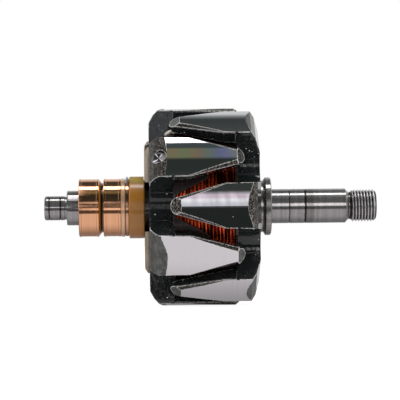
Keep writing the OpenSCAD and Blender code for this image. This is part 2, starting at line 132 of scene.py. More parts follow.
class Graph:
    """A node tree that is filled by expressions."""

    def __init__(self, tree: bpy.types.NodeTree) -> None:
        """Empties a node tree and keeps it."""
        self.tree = tree
        tree.nodes.clear()

    def add(
        self,
        kind: str,
        settings: dict | None = None,
        inputs: dict | None = None,
        output: int | str = 0,
    ) -> Signal | None:
        """Adds one node.

        Args:
            kind: the node's type.
            settings: properties that are set first; "stops" fills a colour ramp.
            inputs: values or signals by the name or number of the socket.
            output: the output that is wanted.

        Returns:
            That output as a signal, or None for a node without outputs.
        """
        node = self.tree.nodes.new(kind)
        for name, value in (settings or {}).items():
            if name == "stops":
                self._fill_ramp(node.color_ramp, value)
            else:
                setattr(node, name, value)
        for name, value in (inputs or {}).items():
            self._feed(node.inputs[name], value)
        return Signal(self, node.outputs[output]) if len(node.outputs) else None

    def _feed(self, socket: bpy.types.NodeSocket, value: object) -> None:
        """Links a signal to a socket, or sets the socket to a number, vector or colour.

        Args:
            socket: the input socket.
            value: the signal, number, vector or colour.
        """
        if isinstance(value, Signal):
            self.tree.links.new(value.socket, socket)
        elif socket.type == "RGBA":
            socket.default_value = (*value, 1.0)
        else:
            socket.default_value = value

    @staticmethod
    def _fill_ramp(ramp: bpy.types.ColorRamp, stops: Stops) -> None:
        """Gives a colour ramp its stops, in order of place.

        Args:
            ramp: the colour ramp.
            stops: places and colours.
        """
        while len(ramp.elements) < len(stops):
            ramp.elements.new(1.0)
        for element, (place, colour) in zip(ramp.elements, stops):
            element.position = place
            element.color = (*colour, 1.0)

    def math(self, operation: str, *values: "Signal | float") -> Signal:
        """Adds a Math node with that operation on these values."""
        return self.add("ShaderNodeMath", {"operation": operation}, dict(enumerate(values)))

    def length(self, first: Signal, second: Signal) -> Signal:
        """Length of a line that goes so far one way and so far square to it."""
        return self.math("SQRT", first * first + second * second)

    def share(self, value: Signal, low: float, high: float) -> Signal:
        """Rises evenly from 0 where value is low to 1 where it is high."""
        return self.add("ShaderNodeMapRange", None, {"Value": value, "From Min": low, "From Max": high})

    def step(self, value: Signal, low: float, high: float) -> Signal:
        """Rises smoothly from 0 where value is low to 1 where it is high."""
        inputs = {"Value": value, "From Min": low, "From Max": high}
        return self.add("ShaderNodeMapRange", {"interpolation_type": "SMOOTHSTEP"}, inputs)

    def edge(self, value: Signal, place: float, half: float) -> Signal:
        """Rises from 0 to 1 across a soft edge, or falls where its half width is below 0."""
        return self.step(value, place - half, place + half)

    def mix(self, first: object, second: object, share: "Signal | float") -> Signal:
        """Colour between two colours, at the second where share is 1."""
        inputs = {0: share, 6: first, 7: second}
        return self.add("ShaderNodeMix", {"data_type": "RGBA"}, inputs, 2)

    def ramp(self, value: Signal, stops: Stops) -> Signal:
        """Colour that a ramp has at a value between 0 and 1."""
        return self.add("ShaderNodeValToRGB", {"stops": stops}, {0: value})

    def blend(self, first: Signal, second: object, share: Signal) -> Signal:
        """Vector between two vectors, at the second where share is 1."""
        inputs = {0: share, 4: first, 5: second}
        return self.add("ShaderNodeMix", {"data_type": "VECTOR"}, inputs, 1)

    def scale(self, colour: Signal, level: Signal) -> Signal:
        """Colour or vector made longer or shorter by a value."""
        return self.add("ShaderNodeVectorMath", {"operation": "SCALE"}, {0: colour, "Scale": level})

    def vector(self, *parts: "Signal | float") -> Signal:
        """Vector of three values."""
        return self.add("ShaderNodeCombineXYZ", None, dict(enumerate(parts)))

    def parts(self, vector: Signal) -> tuple[Signal, Signal, Signal]:
        """The three values of a vector.

        Args:
            vector: the vector.

        Returns:
            Its values along X, Y and Z.
        """
        first = self.add("ShaderNodeSeparateXYZ", None, {0: vector})
        outputs = first.socket.node.outputs
        return first, Signal(self, outputs[1]), Signal(self, outputs[2])

    def place(self) -> Signal:
        """Object coordinates, which are the rotor's own frame."""
        return self.add("ShaderNodeTexCoord", output="Object")

    def noise(self, at: Signal, scale: float, detail: float = 2.0, rough: float = 0.5) -> Signal:
        """Fractal noise between 0 and 1, with scale in waves per metre."""
        inputs = {"Vector": at, "Scale": scale, "Detail": detail, "Roughness": rough}
        return self.add("ShaderNodeTexNoise", None, inputs)

    def bump(self, height: Signal, depth: float, normal: Signal | None = None) -> Signal:
        """Normal of a surface that rises by depth where height is 1.

        Args:
            height: relief between 0 and 1.
            depth: how far it rises.
            normal: normal of the surface without the relief, or None for its own.

        Returns:
            The normal with the relief.
        """
        inputs = {"Height": height, "Distance": depth}
        if normal is not None:
            inputs["Normal"] = normal
        return self.add("ShaderNodeBump", None, inputs)

    def rounding(self, radius: float, samples: int) -> tuple[Signal, Signal]:
        """Finds the edges of a piece.

        Args:
            radius: radius that the edges seem to have.
            samples: rays that look for edges.

        Returns:
            The normal with its edges rounded off, and how far that bends it: 0 on flats.
        """
        plain = self.add("ShaderNodeNewGeometry", output="Normal")
        rounded = self.add("ShaderNodeBevel", {"samples": samples}, {"Radius": radius})
        product = {"operation": "DOT_PRODUCT"}
        alike = self.add("ShaderNodeVectorMath", product, {0: rounded, 1: plain}, 1)
        return rounded, 1.0 - alike


class Paint:
    """A new material, which is filled through its graph."""

    def __init__(self, name: str) -> None:
        """Makes the empty material."""
        self.material = bpy.data.materials.new(name)
        self.material.use_nodes = True
        self.graph = Graph(self.material.node_tree)

    def finish(self, **sockets: object) -> bpy.types.Material:
        """Sets the principled shader's sockets.

        Args:
            sockets: values or signals, by socket name with _ in place of spaces.

        Returns:
            The finished material.
        """
        named = {name.replace("_", " "): value for name, value in sockets.items()}
        shader = self.graph.add("ShaderNodeBsdfPrincipled", None, named)
        return self.show(shader)

    def glow(self, colour: "Signal | Colour") -> bpy.types.Material:
        """Lets the material give off a colour, and returns it."""
        return self.show(self.graph.add("ShaderNodeEmission", None, {"Color": colour}))

    def show(self, shader: Signal) -> bpy.types.Material:
        """Makes a shader the material's surface, and returns the material."""
        self.graph.add("ShaderNodeOutputMaterial", None, {"Surface": shader})
        return self.material


class PoleEnd(Enum):
    """The two claw poles, each with the way its fingers point and the node it is."""

    SLIP_RING = ("slip_ring_end_pole", 1.0)
    DRIVE = ("drive_end_pole", -1.0)

    @property
    def node(self) -> str:
        """Name of the pole's node."""
        return self.value[0]

    @property
    def towards(self) -> float:
        """1 where the fingers point to +X, and -1 where they point to -X."""
        return self.value[1]


@dataclass(frozen=True)
class PoleSpot:
    """A point on a claw pole, as the signals that tell its zones apart.

    Attributes:
        at: place in the rotor's frame.
        x: station along the shaft.
        y: place from front to back.
        z: height.
        radius: distance from the shaft's axis.
        elevation: angle round the shaft.
        from_face: distance from the pole's outer face.
        across: distance from the middle of the nearest finger, round the shaft.
        facing_end: how far the surface faces along the shaft.
        facing_out: how far it faces away from the axis.
        facing_side: how far it faces round the shaft.
    """

    at: Signal
    x: Signal
    y: Signal
    z: Signal
    radius: Signal
    elevation: Signal
    from_face: Signal
    across: Signal
    facing_end: Signal
    facing_out: Signal
    facing_side: Signal


@dataclass
class Look:
    """What a shader shows at a point, while a finish is put together.

    Attributes:
        colour: base colour.
        metal: how far it is bare metal.
        rough: roughness.
        height: height of the fine relief, between 0 and 1.
        normal: the way that the surface faces.
    """

    colour: Signal
    metal: Signal
    rough: Signal
    height: Signal
    normal: Signal


@dataclass(frozen=True)
class PoleFinish:
    """Turned bright fingers, forged facets and black varnish on one claw pole.

    Attributes:
        end: which pole it is.
        face: station of the pole's outer face.
        radius: radius of the turned surface.
        first_finger: elevation of one finger, in radians.
        shoulder: distance from the face where the turned surface starts, mid-finger.
        shoulder_bow: how much nearer to the face that is at a finger's sides.
        half_width: half of a finger's width at its root.
        disc: thickness of the pole's disc.
        bare_finger: elevation of the finger whose forged facets have lost their skin.
        glint_share: how strongly the pale grains, a painted glint, show on it.
        horned_finger: elevation of the finger whose turned surface runs on at its upper corner.
        horn: how much nearer to the face it ends there.
        drilling: distance from the face of a balance drilling in the bare finger, or None.
        drilling_r: radius of that drilling.
        drill_tilt: slope of the drilling's floor.
        star_rise: how far up from the floor's middle its bright star lies.
        glance: the way that the star's rays face, to mirror the screen beside the camera.
        fingers: number of fingers.
        ragged: how far the turned surface's edge on the shoulder wanders.
        edge_sink: how much lower the surface may lie near that edge.
        edge_lean: how much more it may lean there.
        turned_skin: depth below the turned radius that still counts as turned.
        forged_depth: depth below it to which the forged facets reach.
        side_margin: how far past a finger's sides they reach.
        edge_radius: radius of the rounded edges, which carry wear and a painted highlight.
        relief: depth of the fine relief.
        steel: colour of the turned steel.
        steel_dull: its colour in the tool marks.
        forged: colour of the forged skin.
        forged_pale: its colour in pale clouds.
        bare: colour of the forging without its skin.
        grain_glint: colour of the pale grains on it and on the bevels, a painted glint.
        bevelled: colour of the bevels.
        scuff_and_highlight: colour of nicks, of wear on the edges and of painted highlights: the light
            lines along the edges and the drilling's star.
        drilled_steel_in_shade: colour of the drilling, partly its steel and partly a painted shade in the
            hole.
        varnish: colour of the varnish.
        drop_glint_and_dust: colour of the painted highlights on drops of varnish, and of the dust on it.
    """

    end: PoleEnd
    face: float
    radius: float
    first_finger: float
    shoulder: float
    shoulder_bow: float
    half_width: float
    disc: float
    bare_finger: float
    glint_share: float
    horned_finger: float
    horn: float
    drilling: float | None
    drilling_r: float = 3.35 * MM
    drill_tilt: float = math.radians(9.0)
    star_rise: float = 1.2 * MM
    glance: tuple[float, float, float] = (0.021, -0.998, 0.052)
    fingers: int = 6
    ragged: float = 0.9 * MM
    edge_sink: float = 0.9 * MM
    edge_lean: float = 0.12
    turned_skin: float = 0.39 * MM
    forged_depth: float = 8.1 * MM
    side_margin: float = 1.0 * MM
    edge_radius: float = 0.5 * MM
    relief: float = 0.22 * MM
    steel: Colour = (0.66, 0.65, 0.665)
    steel_dull: Colour = (0.642, 0.632, 0.647)
    forged: Colour = (0.056, 0.060, 0.057)
    forged_pale: Colour = (0.128, 0.130, 0.119)
    bare: Colour = (0.013, 0.011, 0.009)
    grain_glint: Colour = (0.62, 0.55, 0.48)
    bevelled: Colour = (0.020, 0.019, 0.018)
    scuff_and_highlight: Colour = (0.88, 0.87, 0.85)
    drilled_steel_in_shade: Colour = (0.30, 0.29, 0.32)
    varnish: Colour = (0.009, 0.011, 0.011)
    drop_glint_and_dust: Colour = (0.78, 0.82, 0.82)

    @property
    def pitch(self) -> float:
        """Angle from one finger to the next."""
        return math.tau / self.fingers

    def material(self) -> bpy.types.Material:
        """Builds the material.

        Returns:
            The material, whose zones follow the radius, the distance from the face and
            the way the surface faces.
        """
        paint = Paint(f"{self.end.node}_finish")
        g = paint.graph
        spot = self._spot(g)
        look = self._look(g, spot)
        if self.drilling is not None:
            self._drill(g, spot, look)
        return paint.finish(
            Base_Color=look.colour,
            Metallic=g.math("MINIMUM", look.metal, 1.0),
            Roughness=look.rough,
            Normal=g.bump(look.height, self.relief, look.normal),
        )

    def _spot(self, g: Graph) -> PoleSpot:
        """Works out where a point lies on the pole and which way it faces.

        Args:
            g: the material's graph.

        Returns:
            The point's signals.
        """
        at = g.place()
        x, y, z = g.parts(at)
        radius = g.length(y, z)
        elevation = g.math("ARCTAN2", z, -y)
        first_edge = self.first_finger - self.pitch / 2
        turn = g.math("FLOORED_MODULO", elevation - first_edge, self.pitch) - self.pitch / 2
        nx, ny, nz = g.parts(g.add("ShaderNodeNewGeometry", output="Normal"))
        return PoleSpot(
            at=at,
            x=x,
            y=y,
            z=z,
            radius=radius,
            elevation=elevation,
            from_face=(x - self.face) * self.end.towards,
            across=radius * g.math("SINE", turn),
            facing_end=abs(nx),
            facing_out=(ny * y + nz * z) / radius,
            facing_side=abs(nz * y - ny * z) / radius,
        )

    def _on_finger(self, g: Graph, spot: PoleSpot, elevation: float) -> Signal:
        """1 on the finger at an elevation, and 0 on the others."""
        swing = g.math("COSINE", spot.elevation - elevation)
        return g.step(swing, math.cos(self.pitch * 0.36), math.cos(self.pitch * 0.28))

    def _turned(self, g: Graph, spot: PoleSpot) -> Signal:
        """1 on the turned outside of the fingers, as far as its ragged edge on the shoulder.

        The edge comes nearer to the face by the bow, which grows with the square of the
        distance across, and by the horn at one finger's upper corner. Near the edge the
        surface may lie a little lower and lean a little more.

        Args:
            g: the material's graph.
            spot: the point on the pole.

        Returns:
            1 on the turned surface, and 0 off it.
        """
        wander = (g.noise(spot.at, 900.0, 3.0) - 0.5) * self.ragged
        bow = spot.across * spot.across * (self.shoulder_bow / self.half_width**2)
        upper = g.step(spot.across, 0.0, self.half_width)
        horn = self.horn * self._on_finger(g, spot, self.horned_finger) * upper
        past_edge = spot.from_face - self.shoulder + bow + horn + wander
        near = g.edge(spot.from_face, self.shoulder + 1.0 * MM, -0.5 * MM)
        lifted = spot.radius + near * self.edge_sink
        high = g.edge(lifted, self.radius - self.turned_skin, 0.06 * MM)
        outward = g.step(spot.facing_out + near * self.edge_lean, 0.90, 0.95)
        return high * outward * g.edge(past_edge, 0.0, 0.12 * MM)

    def _edge_wear_and_highlight(self, g: Graph, spot: PoleSpot, bend: Signal) -> Signal:
        """1 in spots along the edges, where the normal bends, but not where the disc ends: wear, and a
        painted highlight.

        Args:
            g: the material's graph.
            spot: the point on the pole.
            bend: how far rounding the edges bends the normal there.

        Returns:
            1 where the skin is rubbed off and where the edge gets a painted highlight, and 0 elsewhere.
        """
        mottle = g.noise(spot.at, 1100.0, 4.0, 0.65)
        off_disc = g.edge(abs(spot.from_face - self.disc), 0.7 * MM, 0.2 * MM)
        return off_disc * g.step(bend, 0.005, 0.03) * g.step(mottle, 0.36, 0.52)

    def _nicks(self, g: Graph, spot: PoleSpot) -> Signal:
        """Above 0 in a few small nicks.

        Args:
            g: the material's graph.
            spot: the point on the pole.

        Returns:
            How far a nick shows.
        """
        stretched = g.vector(spot.x * 1.6, spot.y * 0.6, spot.z * 0.6)
        nicks = g.add("ShaderNodeTexVoronoi", None, {"Vector": stretched, "Scale": 240.0})
        return 0.6 * g.step(nicks, 0.08, 0.05) * g.step(g.noise(spot.at, 90.0), 0.60, 0.64)

    def _facet(self, g: Graph, spot: PoleSpot, glint_and_dust_grains: Signal, on_bare: Signal) -> Signal:
        """Colour of the forged facets: cloudy skin, and on one finger dark bare metal with pale grains, a
        painted glint.

        Args:
            g: the material's graph.
            spot: the point on the pole.
            glint_and_dust_grains: 1 on the grains that get a painted glint.
            on_bare: 1 on the bare finger.

        Returns:
            The colour.
        """
        clouds = g.step(g.noise(spot.at, 420.0, 4.0, 0.6), 0.35, 0.70)
        skin = g.mix(self.forged, self.forged_pale, clouds)
        grains = g.mix(self.bare, self.grain_glint, glint_and_dust_grains * self.glint_share)
        return g.mix(skin, grains, on_bare)

    def _varnished(self, g: Graph, spot: PoleSpot, glint_and_dust_grains: Signal) -> Signal:
        """Colour of the varnish, with dust, and with painted highlights on drops of many sizes off the end
        faces.

        Args:
            g: the material's graph.
            spot: the point on the pole.
            glint_and_dust_grains: 1 on the grains of the dust.

        Returns:
            The colour.
        """
        drops = g.add("ShaderNodeTexVoronoi", None, {"Vector": spot.at, "Scale": 700.0})
        chance, _, _ = g.parts(Signal(g, drops.socket.node.outputs["Color"]))
        patches = g.step(g.noise(spot.at, 120.0), 0.52, 0.58) * g.step(spot.facing_end, 0.8, 0.5)
        # The drops show only as pale specks, a painted highlight; the dust is real.
        drop_glints = g.step(chance * 0.26 - drops, 0.0, 0.05) * patches
        dust = 0.06 * glint_and_dust_grains * g.step(g.noise(spot.at, 110.0, 2.0), 0.42, 0.58)
        return g.mix(self.varnish, self.drop_glint_and_dust, g.math("MAXIMUM", drop_glints, dust))

    def _look(self, g: Graph, spot: PoleSpot) -> Look:
        """Lays the zones over each other: varnish, facets, bevels, turned steel, and wear with a painted
        highlight on the edges.

        Args:
            g: the material's graph.
            spot: the point on the pole.

        Returns:
            What the pole shows there, without its drilling.
        """
        turned = self._turned(g, spot)
        outer = g.edge(spot.radius, self.radius - self.forged_depth, 0.5 * MM)
        within = g.edge(abs(spot.across), self.half_width + self.side_margin, -0.3 * MM)
        forged = outer * within * g.step(spot.facing_out, 0.35, 0.5) * (1.0 - turned)
        bevel = forged * g.step(spot.facing_side, 0.35, 0.5)
        on_bare = self._on_finger(g, spot, self.bare_finger)
        bared = forged * on_bare

        past_face = g.edge(spot.from_face, 0.6 * MM, 0.2 * MM)
        on_shoulder = past_face * g.edge(spot.from_face, self.shoulder - 0.4 * MM, -0.4 * MM)
        plain = forged * (1.0 - bevel) * on_shoulder
        rounded, bend = g.rounding(self.edge_radius, 8)
        # Pale edges are partly wear and partly a painted highlight, as rounded edges catch the lamps.
        rubbed_and_lit = outer * self._edge_wear_and_highlight(g, spot, bend) * (1.0 - 0.9 * plain)
        nicked = turned * self._nicks(g, spot)

        grain = g.noise(spot.at, 1700.0, 5.0, 0.75)
        # One grain mask: a painted glint on the facets and bevels, and real dust on the varnish.
        glint_and_dust_grains = g.step(grain, 0.53, 0.62)
        tracks = g.noise(g.vector(spot.x, spot.y * 0.02, spot.z * 0.02), 1100.0, 4.0, 0.7)
        past_root = g.step(spot.from_face, self.shoulder, self.shoulder + 3.0 * MM)
        # Pale grains on the bevels past the root are a painted glint.
        bevelled = g.mix(self.bevelled, self.grain_glint, glint_and_dust_grains * past_root * 0.6)
        bright = g.mix(self.steel_dull, self.steel, g.step(tracks, 0.28, 0.60))
        colour = self._varnished(g, spot, glint_and_dust_grains)
        colour = g.mix(colour, self._facet(g, spot, glint_and_dust_grains, on_bare), forged)
        colour = g.mix(colour, bevelled, bevel)
        colour = g.mix(colour, bright, turned)

        smear = g.noise(g.vector(spot.x * 0.3, spot.y, spot.z), 260.0, 3.0)
        polish = turned * (0.01 * smear - 0.055)
        ripple = (1.0 - turned - forged) * g.noise(spot.at, 330.0, 2.0) * 0.4
        outward = g.vector(0.0, spot.y / spot.radius, spot.z / spot.radius)
        return Look(
            # Rubbed edges and nicks take the pale colour; on the edges it is partly a painted highlight.
            colour=g.mix(colour, self.scuff_and_highlight, g.math("MAXIMUM", rubbed_and_lit, nicked)),
            metal=(turned + forged * 0.6) * (1.0 - rubbed_and_lit) * (1.0 - nicked),
            rough=0.075 + polish + forged * 0.21 + bared * 0.18 + rubbed_and_lit * 0.22,
            height=bared * grain + bevel * grain * 0.6 + turned * tracks * 0.003 + ripple,
            normal=g.blend(rounded, outward, turned),
        )

    def _drill(self, g: Graph, spot: PoleSpot, look: Look) -> None:
        """Puts the balance drilling into a look, with the star that its floor mirrors.

        The star's rays are where the distances from its middle, along the shaft and round
        it, are about alike. The rays, and the floor between the two rays on one side, get a
        painted highlight in their colour besides a normal that mirrors the screen.

        Args:
            g: the material's graph.
            spot: the point on the pole.
            look: what the pole shows there, which is changed.
        """
        aside = spot.radius * g.math("SINE", spot.elevation - self.bare_finger)
        along = spot.from_face - self.drilling
        away = g.length(aside, along)
        on_finger = self._on_finger(g, spot, self.bare_finger)
        hole = on_finger * g.edge(away, self.drilling_r, -0.05 * MM)
        floor = hole * g.edge(away, self.drilling_r - 0.3 * MM, -0.1 * MM)
        upward = aside - self.star_rise
        along_2, upward_2 = along * along, upward * upward
        rays = floor * g.step(abs(along_2 - upward_2) / (along_2 + upward_2), 0.40, 0.14)
        wedge = floor * g.step(along - abs(upward), 0.0, 0.3 * MM)
        # lit: the star's rays and the wedge beside them, painted pale as a highlight.
        lit = g.math("MAXIMUM", rays, 0.7 * wedge)

        # The drilling's dark colour is partly a painted shade in the hole.
        look.colour = g.mix(g.mix(look.colour, self.drilled_steel_in_shade, hole), self.scuff_and_highlight, lit)
        look.metal = g.math("MAXIMUM", look.metal, hole) * (1.0 - 0.6 * wedge * (1.0 - rays))
        look.rough = look.rough * (1.0 - hole) + hole * 0.30
        look.rough = look.rough * (1.0 - lit) + lit * 0.10
        look.height = look.height * (1.0 - hole)
        look.normal = g.blend(look.normal, self._cone(g, aside, along, away), floor)
        look.normal = g.blend(look.normal, self.glance, rays)

    def _cone(self, g: Graph, aside: Signal, along: Signal, away: Signal) -> Signal:
        """Normal of the drill's conical floor, which leans towards the drilling's axis.

        Args:
            g: the material's graph.
            aside: distance from the axis round the shaft.
            along: distance from the axis along the shaft.
            away: whole distance from the axis.

        Returns:
            The normal, as a vector of length 1.
        """
        lean, rise = math.sin(self.drill_tilt), math.cos(self.drill_tilt)
        out_y, out_z = -math.cos(self.bare_finger), math.sin(self.bare_finger)
        back, up = along / away * -lean, aside / away * -lean
        normal_y = up * out_z + rise * out_y
        normal_z = up * -out_y + rise * out_z
        return g.vector(back * self.end.towards, normal_y, normal_z)


@dataclass(frozen=True)
class TurnedMetal:
    """Metal turned on a lathe, with fine marks round the shaft's axis.

    Attributes:
        name: the finish's name.
        pale: colour of the clean metal.
        dark: colour in the tool marks and stains.
        roughness: roughness of the clean metal.
        marks: tool marks per metre along the shaft.
        stain: share of the surface that is stained.
        mark_share: how much the marks darken the metal.
        haze: share of the surface that is too dull to mirror.
        rings: dark rings, each with its station, half width and depth of colour.
        ring_tint: colour of those rings, and of the painted shade in the thread's roots.
        clean_from: station past which the metal is clean and bright.
        clean: colour there.
        root_shade_radius: radius below which the thread's roots get a painted shade.
        polished_to: station up to which the metal is polished.
    """

    name: str
    pale: Colour
    dark: Colour
    roughness: float
    marks: float = 1500.0
    stain: float = 0.2
    mark_share: float = 0.35
    haze: float = 0.0
    rings: tuple[tuple[float, float, float], ...] = ()
    ring_tint: Colour = (0.030, 0.022, 0.018)
    clean_from: float = 1.0
    clean: Colour = (0.60, 0.59, 0.595)
    root_shade_radius: float = 0.0
    polished_to: float = -1.0

    def material(self) -> bpy.types.Material:
        """Builds the material, whose marks vary along X and hardly round the axis.

        Returns:
            The material.
        """
        paint = Paint(self.name)
        g = paint.graph
        at = g.place()
        x, y, z = g.parts(at)
        marks = g.noise(g.vector(x, y * 0.015, z * 0.015), self.marks, 4.0, 0.7)
        clouds = g.noise(g.vector(x * 0.6, y, z), 240.0, 4.0, 0.6)
        stained = g.step(clouds, 0.72 - self.stain, 0.86 - self.stain)
        share = g.math("MINIMUM", g.step(marks, 0.66, 0.30) * self.mark_share + stained * 0.45, 1.0)
        rough = self.roughness + 0.06 * marks + 0.14 * stained
        colour = g.mix(self.pale, self.dark, share)
        ragged = x + (clouds - 0.5) * (0.8 * MM)
        for station, half, depth in self.rings:
            ring = depth * g.step(abs(ragged - station), half, half * 0.4)
            colour = g.mix(colour, self.ring_tint, ring)
        # Below that radius the thread's roots get a painted shade in ring_tint.
        high = g.step(g.length(y, z), self.root_shade_radius, self.root_shade_radius + 0.35 * MM)
        crest = g.mix(self.ring_tint, self.clean, high)
        clean = g.step(x, self.clean_from, self.clean_from + 0.5 * MM)
        polished = g.step(x, self.polished_to + MM, self.polished_to)
        return paint.finish(
            Base_Color=g.mix(colour, crest, clean),
            Metallic=1.0 - self.haze,
            Roughness=(rough + 0.12 * clean) * (1.0 - 0.7 * polished),
            Normal=g.bump(marks, 0.004 * MM),
        )


@dataclass(frozen=True)
class MouldedResin:
    """Moulded or cast resin with a grain and a few pits.

    Attributes:
        name: the finish's name.
        light: main colour.
        deep: colour in the grain.
        roughness: roughness of the skin.
        grain: waves of the grain per metre.
        relief: depth of the grain.
        coat: strength of a clear skin.
        coat_roughness: roughness of that skin.
        shine: how much the resin itself mirrors under it.
        gaps: stretches along X that lie in the dark, each with its two stations.
        gap_tint: colour there.
        gap_edge: half width of the edge of such a stretch.
    """

    name: str
    light: Colour
    deep: Colour
    roughness: float
    grain: float = 900.0
    relief: float = 0.03 * MM
    coat: float = 0.0
    coat_roughness: float = 0.03
    shine: float = 0.5
    gaps: tuple[tuple[float, float], ...] = ()
    gap_tint: Colour = (0.004, 0.003, 0.002)
    gap_edge: float = 0.1 * MM

    def material(self) -> bpy.types.Material:
        """Builds the material from two scales of noise.

        Returns:
            The material.
        """
        paint = Paint(self.name)
        g = paint.graph
        at = g.place()
        coarse = g.noise(at, self.grain * 0.22, 3.0)
        fine = g.noise(at, self.grain, 4.0, 0.65)
        pits = g.step(fine, 0.60, 0.72)
        share = g.math("MINIMUM", g.step(coarse, 0.30, 0.75) * 0.6 + pits * 0.7, 1.0)
        colour = g.mix(self.light, self.deep, share)
        x, _, _ = g.parts(at)
        for start, end in self.gaps:
            gap = g.edge(x, start, self.gap_edge) * g.edge(x, end, -self.gap_edge)
            colour = g.mix(colour, self.gap_tint, gap)
        return paint.finish(
            Base_Color=colour,
            Roughness=self.roughness + 0.2 * fine,
            Specular_IOR_Level=self.shine,
            Coat_Weight=self.coat,
            Coat_Roughness=self.coat_roughness,
            Normal=g.bump(fine, self.relief),
        )


@dataclass(frozen=True)
class EnamelledWire:
    """Red enamelled copper wire under a skin of varnish.

    Attributes:
        name: the finish's name.
        red: colour of the enamel.
        brown: colour where varnish has pooled, and of the painted shade above and below.
        shaded_from: sine of the elevation past which the winding gets a painted shade, above and below.
    """

    name: str = "winding_enamel"
    red: Colour = (0.84, 0.125, 0.036)
    brown: Colour = (0.085, 0.016, 0.009)
    shaded_from: float = 0.60

    def material(self) -> bpy.types.Material:
        """Builds the material, which darkens where varnish has pooled, and with a painted shade towards
        the winding's top and bottom.

        Returns:
            The material.
        """
        paint = Paint(self.name)
        g = paint.graph
        at = g.place()
        x, y, z = g.parts(at)
        pooled = g.step(g.noise(g.vector(x, y * 0.22, z * 0.22), 430.0, 3.0), 0.44, 0.60)
        lean = abs(z) / g.length(y, z)
        # A painted shade darkens the winding towards its top and bottom, deep between the fingers.
        darkened = g.edge(lean, self.shaded_from, 0.1)
        return paint.finish(
            Base_Color=g.mix(self.red, self.brown, g.math("MAXIMUM", pooled, darkened)),
            Metallic=1.0,
            Roughness=0.19 + 0.14 * g.noise(at, 1200.0),
        )


@dataclass(frozen=True)
class VarnishedSheet:
    """Thin insulating sheet, dark with varnish, with pale edges that are partly wear and partly a painted
    highlight.

    Attributes:
        name: the finish's name.
        dark: main colour.
        warm: colour where the varnish is thin.
        edge: colour of the pale edges, partly wear and partly a painted highlight.
        edge_radius: radius of those edges.
    """

    name: str = "former_varnish"
    dark: Colour = (0.009, 0.009, 0.010)
    warm: Colour = (0.026, 0.014, 0.011)
    edge: Colour = (0.13, 0.105, 0.09)
    edge_radius: float = 0.3 * MM

    def material(self) -> bpy.types.Material:
        """Builds the material, with its edges found by a rounding of the normal.

        Returns:
            The material.
        """
        paint = Paint(self.name)
        g = paint.graph
        at = g.place()
        rounded, bend = g.rounding(self.edge_radius, 6)
        # Pale edges: partly wear, partly a painted highlight on the rounded edges.
        rubbed_and_lit = g.step(bend, 0.03, 0.2) * g.step(g.noise(at, 900.0, 3.0), 0.40, 0.52)
        base = g.mix(self.dark, self.warm, g.noise(at, 300.0, 3.0))
        return paint.finish(
            Base_Color=g.mix(base, self.edge, rubbed_and_lit),
            Roughness=0.18 + 0.2 * rubbed_and_lit,
            Normal=g.bump(g.noise(at, 700.0, 3.0), 0.06 * MM, rounded),
        )


@dataclass(frozen=True)
class WovenSleeve:
    """Braided cotton sleeve, whose threads follow the piece's UV map.

    Attributes:
        name: the finish's name.
        cream: colour of the threads.
        shade: colour between them.
        darkened: colour of the sleeve's dark stretch, before the station where it turns cream.
        clean_from: station from which it is cream.
        waves_round: waves of the braid round the sleeve.
        waves_along: waves of the braid along it.
    """

    name: str = "sleeve_braid"
    cream: Colour = (0.92, 0.87, 0.72)
    shade: Colour = (0.36, 0.29, 0.19)
    darkened: Colour = (0.020, 0.018, 0.016)
    clean_from: float = -52.3 * MM
    waves_round: float = 48.0
    waves_along: float = 4.0

    def material(self) -> bpy.types.Material:
        """Builds the material from two sets of slanting waves, dark up to a station.

        Returns:
            The material.
        """
        paint = Paint(self.name)
        g = paint.graph
        x, _, _ = g.parts(g.place())
        clean = g.edge(x, self.clean_from, 0.3 * MM)
        u, v, _ = g.parts(g.add("ShaderNodeTexCoord", output="UV"))
        round_it, along_it = u * (self.waves_round * math.tau), v * (self.waves_along * math.tau)
        weave = g.math("SINE", round_it + along_it) * g.math("SINE", round_it - along_it)
        height = weave * 0.5 + 0.5
        threads = g.mix(self.shade, self.cream, g.step(height, 0.1, 0.7))
        return paint.finish(
            Base_Color=g.mix(self.darkened, threads, clean),
            Roughness=0.25 + 0.5 * clean,
            Normal=g.bump(height, 0.12 * MM),
        )


